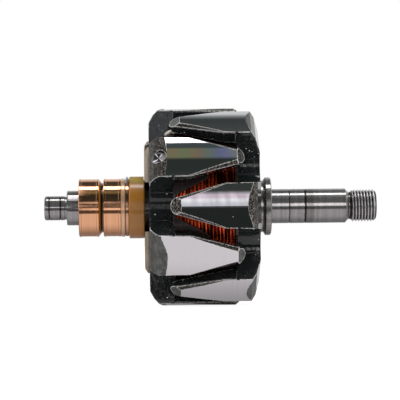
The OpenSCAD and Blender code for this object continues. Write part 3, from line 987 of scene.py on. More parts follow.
class Surface:
    """Meshes from grids of points."""

    @staticmethod
    def grid(name: str, points: np.ndarray, wrap: bool, smooth: bool = True) -> bpy.types.Object:
        """Makes an object from a grid of points.

        Args:
            name: the piece's name.
            points: array of rows by columns by 3; faces join neighbouring points.
            wrap: whether the last column joins the first.
            smooth: whether the faces are shaded smooth.

        Returns:
            The linked object, with a UV map of column and row shares.
        """
        rows, columns = points.shape[:2]
        spans = columns if wrap else columns - 1
        row, column = np.meshgrid(np.arange(rows - 1), np.arange(spans), indexing="ij")
        corners = Surface.faces(row, row + 1, column, columns)
        uv = np.stack(
            [
                np.stack([column, column + 1, column + 1, column], axis=-1) / spans,
                np.stack([row, row, row + 1, row + 1], axis=-1) / (rows - 1),
            ],
            axis=-1,
        ).reshape(-1, 2)
        return Surface.mesh(name, points.reshape(-1, 3), corners, uv, smooth)

    @staticmethod
    def faces(row: np.ndarray, next_row: np.ndarray, column: np.ndarray, columns: int) -> np.ndarray:
        """Joins points of neighbouring rows to faces.

        A point's number is its row times the number of columns, plus its column.

        Args:
            row: row of each face's first two corners.
            next_row: row of its last two corners.
            column: column of its first and last corner; the others are one column on.
            columns: number of columns, past which they start again.

        Returns:
            Array of faces by 4, of point numbers.
        """
        after = (column + 1) % columns
        first, last = row * columns, next_row * columns
        corners = [first + column, first + after, last + after, last + column]
        return np.stack(corners, axis=-1).reshape(-1, 4)

    @staticmethod
    def mesh(
        name: str, points: np.ndarray, corners: np.ndarray, uv: np.ndarray, smooth: bool
    ) -> bpy.types.Object:
        """Makes an object from points and four-cornered faces.

        Args:
            name: the piece's name.
            points: array of points by 3.
            corners: array of faces by 4, of point numbers.
            uv: array of face corners by 2.
            smooth: whether the faces are shaded smooth.

        Returns:
            The linked object.
        """
        mesh = bpy.data.meshes.new(name)
        mesh.vertices.add(len(points))
        mesh.vertices.foreach_set("co", points.astype(np.float32).ravel())
        mesh.loops.add(corners.size)
        mesh.loops.foreach_set("vertex_index", corners.astype(np.int32).ravel())
        mesh.polygons.add(len(corners))
        mesh.polygons.foreach_set("loop_start", np.arange(0, corners.size, 4, dtype=np.int32))
        mesh.polygons.foreach_set("use_smooth", np.full(len(corners), smooth))
        layer = mesh.uv_layers.new(name="UVMap")
        layer.data.foreach_set("uv", uv.astype(np.float32).ravel())
        mesh.update(calc_edges=True)
        mesh.validate()
        piece = bpy.data.objects.new(name, mesh)
        bpy.context.scene.collection.objects.link(piece)
        return piece

    @staticmethod
    def turned(stations: np.ndarray, radii: np.ndarray, columns: int) -> np.ndarray:
        """Grid of a profile turned about X.

        A point at station s, radius r and angle t is (s, r cos t, r sin t), with t
        falling, so that the faces point outwards where the stations rise.

        Args:
            stations: place along X of each row.
            radii: radius of each row, or an array of rows by columns.
            columns: number of points round the axis.

        Returns:
            Array of rows by columns by 3.
        """
        angle = -np.linspace(0.0, math.tau, columns, endpoint=False)
        radius = radii[:, None] * np.ones(columns) if radii.ndim == 1 else radii
        along = stations[:, None] * np.ones(columns)
        return np.stack([along, radius * np.cos(angle), radius * np.sin(angle)], axis=-1)

    @staticmethod
    def tube(path: np.ndarray, radius: float, columns: int) -> np.ndarray:
        """Grid of a round section carried along a path, closed at both ends.

        The section at each point lies square to the path. Its first axis is square to the
        path and to one fixed direction, along which the path never runs, and its second
        axis is square to both. Each end is closed by a row at the path's own end point.

        Args:
            path: array of points by 3.
            radius: radius of the section.
            columns: number of points round the section.

        Returns:
            Array of points and the two ends, by columns by 3.
        """
        along = np.gradient(path, axis=0)
        along /= np.linalg.norm(along, axis=1, keepdims=True)
        first = np.cross(along, [0.31, 0.87, 0.38])
        first /= np.linalg.norm(first, axis=1, keepdims=True)
        second = np.cross(along, first)
        angle = np.linspace(0.0, math.tau, columns, endpoint=False)[None, :, None]
        ring = np.cos(angle) * first[:, None] + np.sin(angle) * second[:, None]
        start, end = (np.tile(point, (1, columns, 1)) for point in (path[0], path[-1]))
        return np.concatenate([start, path[:, None] + radius * ring, end])

    @staticmethod
    def curve(points: np.ndarray, count: int) -> np.ndarray:
        """Smooth path through points.

        Between two points the path is the cubic that leaves each with the slope of the
        line between that point's neighbours.

        Args:
            points: array of points by 3.
            count: number of points that are wanted.

        Returns:
            Array of count by 3.
        """
        slope = np.gradient(points, axis=0)
        place = np.linspace(0.0, len(points) - 1.0, count)
        index = np.minimum(place.astype(int), len(points) - 2)
        t = (place - index)[:, None]
        a, b, c, d = points[index], points[index + 1], slope[index], slope[index + 1]
        cubic = (2 * t**3 - 3 * t**2 + 1) * a + (3 * t**2 - 2 * t**3) * b
        return cubic + (t**3 - 2 * t**2 + t) * c + (t**3 - t**2) * d


def adopt(
    piece: bpy.types.Object, slot: str, material: bpy.types.Material, *nodes: str
) -> bpy.types.Object:
    """Rides a new piece on the rotor's body in place of some nodes.

    Args:
        piece: the new piece.
        slot: the record's material slot; not used.
        material: its finish.
        nodes: the nodes that it replaces.

    Returns:
        The piece.
    """
    piece.data.materials.append(material)
    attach(piece, BODY)
    if nodes:
        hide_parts(*nodes)
    log.info("%s: %d faces", piece.name, len(piece.data.polygons))
    return piece


def dress(node: bpy.types.Object, material: bpy.types.Material) -> None:
    """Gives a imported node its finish."""
    node.material_slots[0].material = material
    log.info("%s: %s", node.name, material.name)


# Glints of the room on the flags, from left to right
GLINTS: Stops = (
    (0.34, (0.200, 0.215, 0.130)),
    (0.46, (0.255, 0.205, 0.120)),
    (0.54, (0.175, 0.235, 0.130)),
    (0.62, (0.235, 0.205, 0.115)),
    (0.69, (0.240, 0.170, 0.135)),
    (0.75, (0.155, 0.215, 0.155)),
    (0.81, (0.155, 0.195, 0.215)),
    (0.87, (0.155, 0.175, 0.310)),
    (0.92, (0.190, 0.195, 0.350)),
    (0.97, (0.200, 0.230, 0.240)),
)

# The flags behind the rotor, from level to overhead
REAR: Stops = (
    (0.0, (0.80, 0.80, 0.81)),
    (0.48, (0.78, 0.80, 0.80)),
    (0.57, (0.25, 0.27, 0.27)),
    (0.64, (0.066, 0.074, 0.074)),
    (0.70, (0.055, 0.064, 0.062)),
    (1.0, (0.09, 0.10, 0.10)),
)

# The pale screen, from its foot to its top
SCREEN: Stops = (
    (0.00, (0.05, 0.055, 0.052)),
    (0.03, (0.08, 0.085, 0.08)),
    (0.08, (0.05, 0.052, 0.05)),
    (0.115, (0.16, 0.17, 0.17)),
    (0.145, (0.82, 0.85, 0.91)),
    (0.29, (0.93, 0.96, 1.01)),
    (0.46, (1.26, 1.26, 1.30)),
    (0.53, (1.20, 1.15, 1.21)),
    (0.62, (1.00, 0.87, 0.97)),
    (0.75, (1.00, 0.85, 0.96)),
    (0.80, (0.85, 0.74, 0.83)),
    (0.85, (0.58, 0.53, 0.60)),
    (0.90, (0.40, 0.38, 0.42)),
    (0.96, (0.15, 0.15, 0.15)),
    (1.00, (0.09, 0.09, 0.09)),
)


@dataclass(frozen=True)
class LitCard:
    """Small card whose light shows as a line on a polished piece.

    Attributes:
        name: the card's name.
        across: its stretch along X.
        rise: the elevations that it fills, in degrees.
        colour: the colour that it gives off.
        upright: whether it stands before the camera's shade; if not, it lies above the shaft.
    """

    name: str
    across: tuple[float, float]
    rise: tuple[float, float]
    colour: Colour
    upright: bool


LIT_CARDS = (
    LitCard("ring_card", (-0.128, -0.100), (16.0, 23.5), (1.5, 1.5, 1.58), True),
    LitCard("stub_card", (-0.170, -0.1425), (3.0, 11.0), (2.2, 2.1, 2.1), True),
    LitCard("step_low_card", (-0.1051, -0.0985), (50.0, 63.0), (1.6, 1.6, 1.6), False),
    LitCard("step_card", (-0.1046, -0.0980), (63.0, 84.0), (3.4, 3.4, 3.4), False),
)


@dataclass
class Studio:
    """Camera, floor, lamps and the dark flags that polished steel mirrors.

    Attributes:
        floor: height that the rotor rests on.
        eye: the camera's place.
        aim: the point at the middle of the picture.
        roll: how far the shaft's drive end rises in the picture, in radians.
        width: width of what the picture shows at the aim.
        reach: distance of the upright flags, beyond the camera.
        pale_edge: distance at which the pale floor gives way to the low flags.
        low: how far below level the pale screen starts and the rear flag ends.
        dip: how far below level the flag below the camera ends.
        high: how far above level the dome starts.
        shade_right: how far the camera's own shade reaches to its right.
        eye_left: station of the left edge of the flag round the camera.
        screen_right: station of the pale screen's right edge.
        ring_end: station of the first slip ring's outer edge.
        flag_half: half width of the low flags.
        dome_r: radius of the dome.
        floor_half: half width of the floor.
        poles_start: stations between which the poles' shade on the floor comes up.
        poles_end: stations between which it ends.
        poles_ahead: how much nearer to the front the shade lies below the poles.
        shade_deep: places from front to back between which the rotor's shade comes up.
        floor_near: places from front to back between which the floor near the rotor starts.
        eye_low: share of low at which the flag round the camera starts.
        card_share: share of the reach at which the upright lit cards stand.
        card_above: height of the lit cards that lie above the shaft.
        stub_r: radius of the shaft below them.
        strip_behind: distance of the strip lamp behind the upright flags.
    """

    floor: float
    eye: Vector
    aim: Vector
    roll: float = math.radians(0.57)
    width: float = 198.2 * MM
    reach: float = 1.38
    pale_edge: float = 0.115
    low: float = math.radians(2.5)
    dip: float = math.radians(10.0)
    high: float = math.radians(17.5)
    shade_right: float = 0.026
    eye_left: float = -0.30
    screen_right: float = 0.085
    ring_end: float = -0.0949
    flag_half: float = 2.4
    dome_r: float = 1.8
    floor_half: float = 4.0
    poles_start: tuple[float, float] = (-0.070, -0.055)
    poles_end: tuple[float, float] = (0.002, -0.012)
    poles_ahead: float = 0.022
    shade_deep: tuple[float, float] = (-0.032, 0.022)
    floor_near: tuple[float, float] = (-0.28, -0.18)
    eye_low: float = 0.6
    card_share: float = 0.98
    card_above: float = 0.12
    stub_r: float = 6.0 * MM
    strip_behind: float = 0.04

    def camera(self) -> None:
        """Makes the camera, as far away as the photograph's perspective tells."""
        data = bpy.data.cameras.new("camera")
        view = self.aim - self.eye
        data.sensor_width = SENSOR
        data.lens = SENSOR * view.length / self.width
        camera = bpy.data.objects.new("camera", data)
        camera.location = self.eye
        camera.rotation_mode = "QUATERNION"
        rolled = Quaternion((0.0, 0.0, 1.0), -self.roll)
        camera.rotation_quaternion = view.to_track_quat("-Z", "Y") @ rolled
        bpy.context.scene.collection.objects.link(camera)
        bpy.context.scene.camera = camera

    @staticmethod
    def _rays(g: Graph) -> tuple[Signal, Signal]:
        """1 for rays that come from the camera or through glass, and 1 for those from metal.

        Args:
            g: the material's graph.

        Returns:
            Both signals.
        """
        kinds = ("Camera", "Transmission", "Glossy")
        camera, glass, metal = (g.add("ShaderNodeLightPath", output=f"Is {kind} Ray") for kind in kinds)
        return g.math("MAXIMUM", camera, glass), metal

    @staticmethod
    def world() -> None:
        """Makes the world, which is evenly white."""
        world = bpy.data.worlds.new("studio")
        bpy.context.scene.world = world
        world.use_nodes = True
        g = Graph(world.node_tree)
        white = g.add("ShaderNodeBackground", None, {"Color": (1.0, 1.0, 1.0), "Strength": 1.0})
        g.add("ShaderNodeOutputWorld", None, {"Surface": white})

    def ground(self) -> None:
        """Makes the pale floor, white to the eye but for the rotor's shadow.

        Metal sees it shaded below the rotor and behind it, and more so below the poles.
        """
        paint = Paint("pale_floor")
        g = paint.graph
        x, y, _ = g.parts(g.place())
        below_poles = g.step(x, *self.poles_start) * g.step(x, *self.poles_end)
        shade = 0.64 * g.step(y + below_poles * self.poles_ahead, *self.shade_deep)
        nearby = g.step(y, *self.floor_near)
        eye, metal = self._rays(g)
        level = 1.16 - metal * (0.30 * nearby + 0.86 * shade)
        tint = g.mix((1.0, 1.0, 1.0), (1.0, 0.965, 0.985), metal)
        glow = g.add("ShaderNodeEmission", None, {"Color": g.scale(tint, level)})
        plain = g.add("ShaderNodeBsdfDiffuse", None, {"Color": (0.80, 0.78, 0.79)})
        share = g.math("MAXIMUM", eye * 0.8, metal)
        both = g.add("ShaderNodeMixShader", None, {0: share, 1: plain, 2: glow})
        sides = np.array([-self.floor_half, self.floor_half])
        deep, across = np.meshgrid(sides, sides, indexing="ij")
        points = np.stack([across, deep, np.full_like(across, self.floor)], axis=-1)
        floor = Surface.grid("floor", points, False)
        floor.data.materials.append(paint.show(both))
        floor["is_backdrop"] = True

    @staticmethod
    def _flag(name: str, points: np.ndarray, material: bpy.types.Material, wrap: bool = False) -> None:
        """Hangs a flag or card that only mirrors see, as a grid of points.

        Args:
            name: the flag's name.
            points: array of rows by columns by 3.
            material: its cloth or glow.
            wrap: whether the last column joins the first.
        """
        flag = Surface.grid(name, points, wrap)
        flag.data.materials.append(material)
        flag.visible_camera = False
        flag.visible_diffuse = False
        flag.visible_shadow = False
        flag.visible_transmission = False
        flag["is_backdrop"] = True

    def _cloth(self) -> bpy.types.Material:
        """Dark flag cloth, a little paler at the heights where the room shows.

        Returns:
            The material.
        """
        paint = Paint("flag_cloth")
        g = paint.graph
        x, y, z = g.parts(g.add("ShaderNodeVectorMath", {"operation": "NORMALIZE"}, {0: g.place()}))
        steep = g.math("ARCSINE", z) / (math.pi / 2)
        # Heights are shares of the way from level to overhead
        wander = x + 0.026 * (g.noise(g.vector(x, y * 0.02, z * 0.08), 330.0, 3.0, 0.65) - 0.5)
        glint = g.ramp(g.share(wander, -0.045, 0.035), GLINTS)
        below = g.mix((0.022, 0.027, 0.025), (0.050, 0.058, 0.052), g.step(steep, 0.0, 0.1))
        low_gloom = g.mix(below, (0.034, 0.042, 0.038), g.step(steep, 0.30, 0.50))
        high_gloom = g.mix(low_gloom, (0.070, 0.088, 0.090), g.step(steep, 0.77, 0.80))
        front = g.mix(high_gloom, glint, g.step(steep, 0.61, 0.66) * g.step(steep, 0.80, 0.77))
        return paint.glow(g.mix(front, g.ramp(steep, REAR), g.step(y, -0.05, 0.1)))

    def _screen(self) -> bpy.types.Material:
        """Pale screen with upright folds beside the camera, dark at its foot and pinkish higher up.

        Returns:
            The material.
        """
        paint = Paint("pale_screen")
        g = paint.graph
        x, y, z = g.parts(g.place())
        rise = g.math("ARCTANGENT", -z / y)
        tint = g.ramp(g.share(rise, -self.low, self.high), SCREEN)
        folds = g.noise(g.vector(x, 0.0, z * 0.004), 300.0, 4.0, 0.72)
        return paint.glow(g.scale(tint, 0.56 + 0.56 * g.step(folds, 0.36, 0.60)))

    def _upright(
        self, name: str, across: list[float], rise: list[float], material: bpy.types.Material
    ) -> None:
        """Hangs an upright flag at the reach, between two stations and two elevations."""
        z, x = np.meshgrid(self.reach * np.tan(rise), across, indexing="ij")
        self._flag(name, np.stack([x, np.full_like(x, -self.reach), z], axis=-1), material)

    def flags(self) -> None:
        """Hangs the flags: low ones in front and behind, upright ones, and a dome over the rest."""
        cloth = self._cloth()
        just_above = self.floor + 1.0 * MM
        far = -self.floor / math.tan(self.low)
        near = -self.floor / math.tan(self.dip)
        right = self.eye.x + self.shade_right
        dim = Paint("dim_card").glow((0.10, 0.09, 0.085))
        # An edge at None follows the ring's edge
        low_flags = {
            "front_left_flag": ((-self.flag_half, None), (-self.pale_edge, -self.reach), cloth),
            "front_middle_flag": ((None, right), (-self.pale_edge, -near), dim),
            "front_right_flag": ((right, self.flag_half), (-self.pale_edge, -self.reach), cloth),
            "rear_flag": ((-self.flag_half, self.flag_half), (self.pale_edge, far), cloth),
        }
        for name, (across, deep, material) in low_flags.items():
            corners = [
                [(self._ring_edge(y) if x is None else x, y, just_above) for x in across] for y in deep
            ]
            self._flag(name, np.array(corners), material)
        shade_end = right * self.reach / -self.eye.y
        eye_rise, screen_rise = ([-share * self.low, self.high] for share in (self.eye_low, 1.0))
        self._upright("eye_flag", [self.eye_left, shade_end], eye_rise, cloth)
        self._upright("pale_screen", [shade_end, self.screen_right], screen_rise, self._screen())
        self._lit_cards()
        self._dome(cloth)

    def _dome(self, cloth: bpy.types.Material) -> None:
        """Hangs the dome, a half sphere of headings by elevations with a small hole at its top.

        Args:
            cloth: its material.
        """
        rows, columns, top = 24, 64, math.radians(89.0)
        steep = np.linspace(self.high, top, rows)[:, None]
        heading = np.linspace(0.0, math.tau, columns, endpoint=False)[None, :]
        level, up = np.cos(steep), np.sin(steep) * np.ones_like(heading)
        dome = np.stack([level * np.cos(heading), level * np.sin(heading), up], axis=-1)
        self._flag("dome_flag", self.dome_r * dome, cloth, True)

    def _ring_edge(self, y: float) -> float:
        """Where the first ring's outer edge mirrors the camera's line of sight, at a depth y."""
        return self.ring_end + (self.ring_end - self.eye.x) * y / self.eye.y

    def _lit_cards(self) -> None:
        """Hangs the small cards whose light shows as lines on the stub, its step and the first ring.

        An upright card stands at a distance, so its heights are that times the slopes of
        its elevations. One above the shaft lies at a height, so its depths are that over them.
        """
        ahead = self.reach * self.card_share
        for card in LIT_CARDS:
            slope = np.tan(np.radians(card.rise))
            height = ahead * slope if card.upright else np.full(2, self.card_above)
            depth = np.full(2, ahead) if card.upright else self.card_above / slope + self.stub_r
            corners = [[(x, -y, z) for x in card.across] for y, z in zip(depth, height)]
            self._flag(card.name, np.array(corners), Paint(card.name).glow(card.colour))

    @staticmethod
    def _lamp(name: str, at: Vector, size: tuple[float, float], radiance: float, tint: Colour) -> None:
        """Hangs a soft box that faces the rotor, with its radiance as a mirror sees it.

        Args:
            name: the lamp's name.
            at: its place.
            size: its width and height.
            radiance: how bright a mirror sees it, where 1 is white.
            tint: its colour.
        """
        data = bpy.data.lights.new(name, "AREA")
        data.shape = "RECTANGLE"
        data.size, data.size_y = size
        data.energy = radiance * math.pi * size[0] * size[1]
        data.color = tint
        lamp = bpy.data.objects.new(name, data)
        lamp.location = at
        lamp.rotation_mode = "QUATERNION"
        lamp.rotation_quaternion = (-at).to_track_quat("-Z", "Y")
        lamp.visible_camera = False
        bpy.context.scene.collection.objects.link(lamp)

    def lamps(self) -> None:
        """Hangs the soft box overhead and a strip of light to the right of the camera."""
        self._lamp(
            "overhead_box",
            at=Vector((0.0, -0.098, 1.2)),
            size=(1.5, 0.305),
            radiance=5.6,
            tint=(1.0, 1.0, 1.0),
        )
        behind = self.reach + self.strip_behind
        self._lamp(
            "right_strip",
            at=Vector((0.133, -behind, behind * math.tan(self.high / 2))),
            size=(0.13, 0.44),
            radiance=3.0,
            tint=(1.0, 0.94, 0.95),
        )

    def build(self) -> None:
        """Builds the whole studio."""
        bpy.context.scene.view_settings.view_transform = "Standard"
        self.camera()
        self.world()
        self.ground()
        self.flags()
        self.lamps()


@dataclass
class Shaft:
    """Turned shaft with its bearing seats, witness grooves, centre holes and thread.

    Attributes:
        stub_end: station of the slip-ring end's tip.
        drive_end: station of the drive end's tip.
        stub_r: radius of the slip-ring end's bearing seat, with its length and chamfer.
        undercut_len: length of the undercut beside the seat's shoulder, with its depth.
        ring_r: radius under the slip rings, with the chamfer of its step.
        seat_r: radius of the poles' seat, with the stations that it runs between.
        journal_r: radius of the drive end's bearing seat.
        collar_step: how much thicker the shaft is in the stop collar.
        journal_end: station where that seat ends, with its chamfer.
        relief_r: radius of the relief before the thread, with its length.
        thread_r: radius of the thread, with its pitch, depth and chamfer.
        thread_rows: rows of points in one pitch.
        centre_r: radius of the centre holes, with the half angle of their cone.
        groove_w: width of the witness grooves, with their depth.
        columns: points round the shaft.
        sharp_angle: angle past which an edge isn't shaded smooth.
        stub_grooves: distances of the witness grooves from the slip-ring end's tip.
        journal_grooves: stations of those in the drive end's bearing seat.
    """

    stub_end: float
    drive_end: float
    stub_r: float = 6.0 * MM
    stub_len: float = 11.1 * MM
    stub_chamfer: float = 1.0 * MM
    undercut_len: float = 1.2 * MM
    undercut_depth: float = 0.25 * MM
    ring_r: float = 8.6 * MM
    step_chamfer: float = 0.6 * MM
    seat_r: float = 9.5 * MM
    seat_from: float = -60.1 * MM
    seat_to: float = -6.5 * MM
    journal_r: float = 8.5 * MM
    collar_step: float = 0.2 * MM
    journal_end: float = 38.6 * MM
    journal_chamfer: float = 1.65 * MM
    relief_r: float = 6.8 * MM
    relief_len: float = 1.0 * MM
    thread_r: float = 8.0 * MM
    thread_pitch: float = 1.5 * MM
    thread_depth: float = 0.92 * MM
    thread_chamfer: float = 1.3 * MM
    thread_rows: int = 22
    centre_r: float = 2.5 * MM
    centre_half_angle: float = math.radians(30.0)
    groove_w: float = 0.5 * MM
    groove_depth: float = 0.22 * MM
    columns: int = 192
    sharp_angle: float = math.radians(15.0)
    stub_grooves: tuple[float, ...] = (2.5 * MM, 7.9 * MM)
    journal_grooves: tuple[float, ...] = (9.1 * MM, 17.0 * MM)

    def _groove(self, station: float, radius: float) -> list[tuple[float, float]]:
        """Profile points of a shallow round-bottomed groove at a station.

        Args:
            station: the groove's middle.
            radius: radius of the shaft there.

        Returns:
            Its stations and radii.
        """
        half = self.groove_w / 2
        return [
            (station - half, radius),
            (station - half * 0.6, radius - self.groove_depth * 0.8),
            (station, radius - self.groove_depth),
            (station + half * 0.6, radius - self.groove_depth * 0.8),
            (station + half, radius),
        ]

    def _profile(self) -> np.ndarray:
        """Stations and radii from one centre hole to the start of the thread.

        Returns:
            Array of points by 2.
        """
        centre = self.centre_r / math.tan(self.centre_half_angle)
        shoulder = self.stub_end + self.stub_len
        low = self.stub_r - self.undercut_depth
        points = [
            (self.stub_end + centre, 0.0),
            (self.stub_end, self.centre_r),
            (self.stub_end, self.stub_r - self.stub_chamfer),
            (self.stub_end + self.stub_chamfer * 0.3, self.stub_r - self.stub_chamfer * 0.3),
            (self.stub_end + self.stub_chamfer, self.stub_r),
        ]
        for groove in self.stub_grooves:
            points += self._groove(self.stub_end + groove, self.stub_r)
        points += [
            (shoulder - self.undercut_len, self.stub_r),
            (shoulder - self.undercut_len + self.undercut_depth, low),
            (shoulder, low),
            (shoulder, self.ring_r - self.step_chamfer),
            (shoulder + self.step_chamfer * 0.3, self.ring_r - self.step_chamfer * 0.3),
            (shoulder + self.step_chamfer, self.ring_r),
            (self.seat_from, self.ring_r),
            (self.seat_from, self.seat_r),
            (self.seat_to, self.seat_r),
            (self.seat_to, self.journal_r + self.collar_step),
            (0.0, self.journal_r + self.collar_step),
            (0.0, self.journal_r),
        ]
        for groove in self.journal_grooves:
            points += self._groove(groove, self.journal_r)
        points += [
            (self.journal_end - self.journal_chamfer, self.journal_r),
            (self.journal_end, self.journal_r - self.journal_chamfer),
            (self.journal_end, self.relief_r),
            (self.journal_end + self.relief_len, self.relief_r),
        ]
        return np.array(points)

    def _thread(self) -> tuple[np.ndarray, np.ndarray]:
        """Stations and radii of the thread, on a grid of rows by columns.

        The radius falls from the crest by the depth times a wave of straight flanks, which
        is cut flat at its crests and roots. The wave's place is the station less one pitch
        for each turn, so the ridge climbs as a right-handed screw does. A cone trims both ends.

        Returns:
            The station of each row, and the radii as an array of rows by columns.
        """
        start = self.journal_end + self.relief_len
        rows = int(self.thread_rows * (self.drive_end - start) / self.thread_pitch)
        stations = np.linspace(start, self.drive_end, rows)
        angle = -np.linspace(0.0, math.tau, self.columns, endpoint=False)
        phase = stations[:, None] / self.thread_pitch - angle[None, :] / math.tau
        wave = np.abs(2.0 * (phase - np.floor(phase)) - 1.0)
        steepness, crest, root = 1.18, 0.12, 0.96
        depth = self.thread_depth * np.clip(steepness * wave - crest, 0.0, root)
        first_cone = stations - start + self.relief_r
        last_cone = self.drive_end - stations + self.thread_r - self.thread_chamfer
        ends = np.minimum(first_cone, last_cone)
        return stations, np.minimum(self.thread_r - depth, ends[:, None])

    def build(self) -> bpy.types.Object:
        """Builds the shaft as one grid of stations by angles.

        Returns:
            The piece.
        """
        profile = self._profile()
        stations, radii = self._thread()
        centre = self.centre_r / math.tan(self.centre_half_angle)
        tail = np.array([(self.drive_end, self.centre_r), (self.drive_end - centre, 0.0)])
        spread = np.ones(self.columns)
        all_stations = np.concatenate([profile[:, 0], stations, tail[:, 0]])
        all_radii = np.concatenate([profile[:, 1:] * spread, radii, tail[:, 1:] * spread])
        points = Surface.turned(all_stations, all_radii, self.columns)
        piece = Surface.grid("turned_shaft", points, True)
        self._sharpen(piece.data)
        finish = TurnedMetal(
            "ground_steel",
            pale=(0.33, 0.324, 0.328),
            dark=(0.19, 0.172, 0.163),
            roughness=0.125,
            marks=460.0,
            stain=0.14,
            mark_share=0.6,
            haze=0.20,
            rings=self._witness_rings(),
            clean_from=self.journal_end,
            root_shade_radius=self.thread_r - 0.72 * MM,
            polished_to=self.seat_from,
        )
        return adopt(piece, "shaft_steel", finish.material(), "shaft")

    def _sharpen(self, mesh: bpy.types.Mesh) -> None:
        """Marks the sharp edges, but none along the thread, whose ridge crosses the grid.

        Args:
            mesh: the shaft's mesh.
        """
        mesh.set_sharp_from_angle(angle=self.sharp_angle)
        place = np.empty(len(mesh.vertices) * 3)
        mesh.vertices.foreach_get("co", place)
        ends = np.empty(len(mesh.edges) * 2, dtype=np.int32)
        mesh.edges.foreach_get("vertices", ends)
        x = place.reshape(-1, 3)[ends, 0].reshape(-1, 2)
        threaded = ((x > self.journal_end + self.relief_len) & (x < self.drive_end)).any(axis=1)
        sharp = np.empty(len(mesh.edges), dtype=bool)
        marks = mesh.attributes["sharp_edge"].data
        marks.foreach_get("value", sharp)
        marks.foreach_set("value", sharp & ~threaded)

    def _witness_rings(self) -> tuple[tuple[float, float, float], ...]:
        """Dark rings in the grooves, and the brown stain beside the second one.

        Returns:
            Station, half width and depth of colour of each.
        """
        stub = tuple((self.stub_end + groove, 0.55 * MM, 0.9) for groove in self.stub_grooves)
        thin, wide = self.journal_grooves
        return stub + ((thin, 0.40 * MM, 0.75), (wide, 0.75 * MM, 0.95), (wide + 2.2 * MM, 2.6 * MM, 0.35))


@dataclass
class FieldCoil:
    """Winding seen between the fingers: rows of wire on a bundle painted near black as shade.

    Attributes:
        start: station of the winding's slip-ring end.
        end: station of its drive end.
        radius: outer radius of the winding.
        inner: radius of the former's tube.
        turns: turns in the outer layer.
        wire_share: share of a turn's pitch that its wire fills.
        slack: how far a turn may lie above or below its place.
        bundle_depth: depth of the bundle below the outside, in pitches.
        columns: points round the shaft.
        section: points round the wire.
        seed: start of the random draws.
    """

    start: float
    end: float
    radius: float
    inner: float
    turns: int = 17
    wire_share: float = 0.84
    slack: float = 0.10 * MM
    bundle_depth: float = 0.75
    columns: int = 168
    section: int = 10
    seed: int = 7

    @property
    def pitch(self) -> float:
        """Distance from one turn to the next."""
        return (self.end - self.start) / self.turns

    def build(self) -> bpy.types.Object:
        """Builds the outer layer of turns.

        Each turn is a ring of wire: a circle of the wire's radius carried round the
        shaft. The grid's rows run over all turns, each with its own place, and a short
        wave lifts the wire a little as it goes round.

        Returns:
            The piece.
        """
        wire = self.pitch * self.wire_share / 2
        dice = np.random.default_rng(self.seed)
        middle = self.start + self.pitch * (np.arange(self.turns) + 0.5)
        lift = self.slack * dice.uniform(-1.0, 1.0, self.turns)
        phase = dice.uniform(0.0, math.tau, self.turns)
        section = np.linspace(0.0, math.tau, self.section, endpoint=False)
        angle = -np.linspace(0.0, math.tau, self.columns, endpoint=False)
        waves_round = 3.0
        wave = 0.5 * self.slack * np.sin(waves_round * angle[None, :] + phase[:, None])
        centre = (self.radius - wire - 2.0 * self.slack + lift)[:, None] + wave
        along = middle[:, None, None] - wire * np.cos(section)[None, :, None] + 0.0 * angle
        radius = centre[:, None, :] + wire * np.sin(section)[None, :, None]
        points = np.stack([along, radius * np.cos(angle), radius * np.sin(angle)], axis=-1)
        rings = np.arange(self.turns)[:, None, None] * self.section
        one, two = np.meshgrid(np.arange(self.section), np.arange(self.columns), indexing="ij")
        corners = Surface.faces(rings + one, rings + (one + 1) % self.section, two, self.columns)
        uv = np.zeros((corners.size, 2))
        piece = Surface.mesh("wire_turns", points.reshape(-1, 3), corners, uv, True)
        return adopt(piece, "winding", EnamelledWire().material(), "field_coil")

    def build_bundle(self) -> bpy.types.Object:
        """Builds the bundle under the outer layer, a ring of square section, painted near black as the
        shade between the turns.

        Returns:
            The piece.
        """
        outer = self.radius - self.pitch * self.bundle_depth
        stations = np.array([self.start, self.start, self.end, self.end, self.start])
        radii = np.array([self.inner, outer, outer, self.inner, self.inner])
        piece = Surface.grid("wire_bundle", Surface.turned(stations, radii, self.columns), True, False)
        # The bundle's near-black colour is a painted shade under and between the turns.
        finish = EnamelledWire("winding_shade", red=(0.03, 0.006, 0.004), brown=(0.01, 0.003, 0.002))
        return adopt(piece, "winding", finish.material())


@dataclass
class CoilLead:
    """Sleeved lead from the coil's edge to the slot of the moulded collar.

    Attributes:
        name: the piece's name.
        node: the node that it replaces.
        elevation: where it lies round the shaft, in radians.
        radius: radius of the sleeve.
        path_points: points along its path.
        columns: points round the sleeve.
        route: stations and radii that it passes, in millimetres.
    """

    name: str
    node: str
    elevation: float
    radius: float = 0.8 * MM
    path_points: int = 72
    columns: int = 16
    route: tuple[tuple[float, float], ...] = (
        (-47.7, 39.85), (-50.5, 39.6), (-56.9, 33.55), (-59.6, 33.0), (-60.8, 32.35),
        (-61.2, 31.15), (-61.2, 15.35), (-61.6, 14.15), (-62.67, 13.75),
    )

    def build(self) -> bpy.types.Object:
        """Builds the lead as a round section carried along its route.

        Returns:
            The piece.
        """
        flat = np.array(self.route) * MM
        out = np.array([0.0, -math.cos(self.elevation), math.sin(self.elevation)])
        points = flat[:, :1] * np.array([1.0, 0.0, 0.0]) + flat[:, 1:] * out
        path = Surface.curve(points, self.path_points)
        piece = Surface.grid(self.name, Surface.tube(path, self.radius, self.columns), True)
        return adopt(piece, "sleeve", WovenSleeve().material(), self.node)


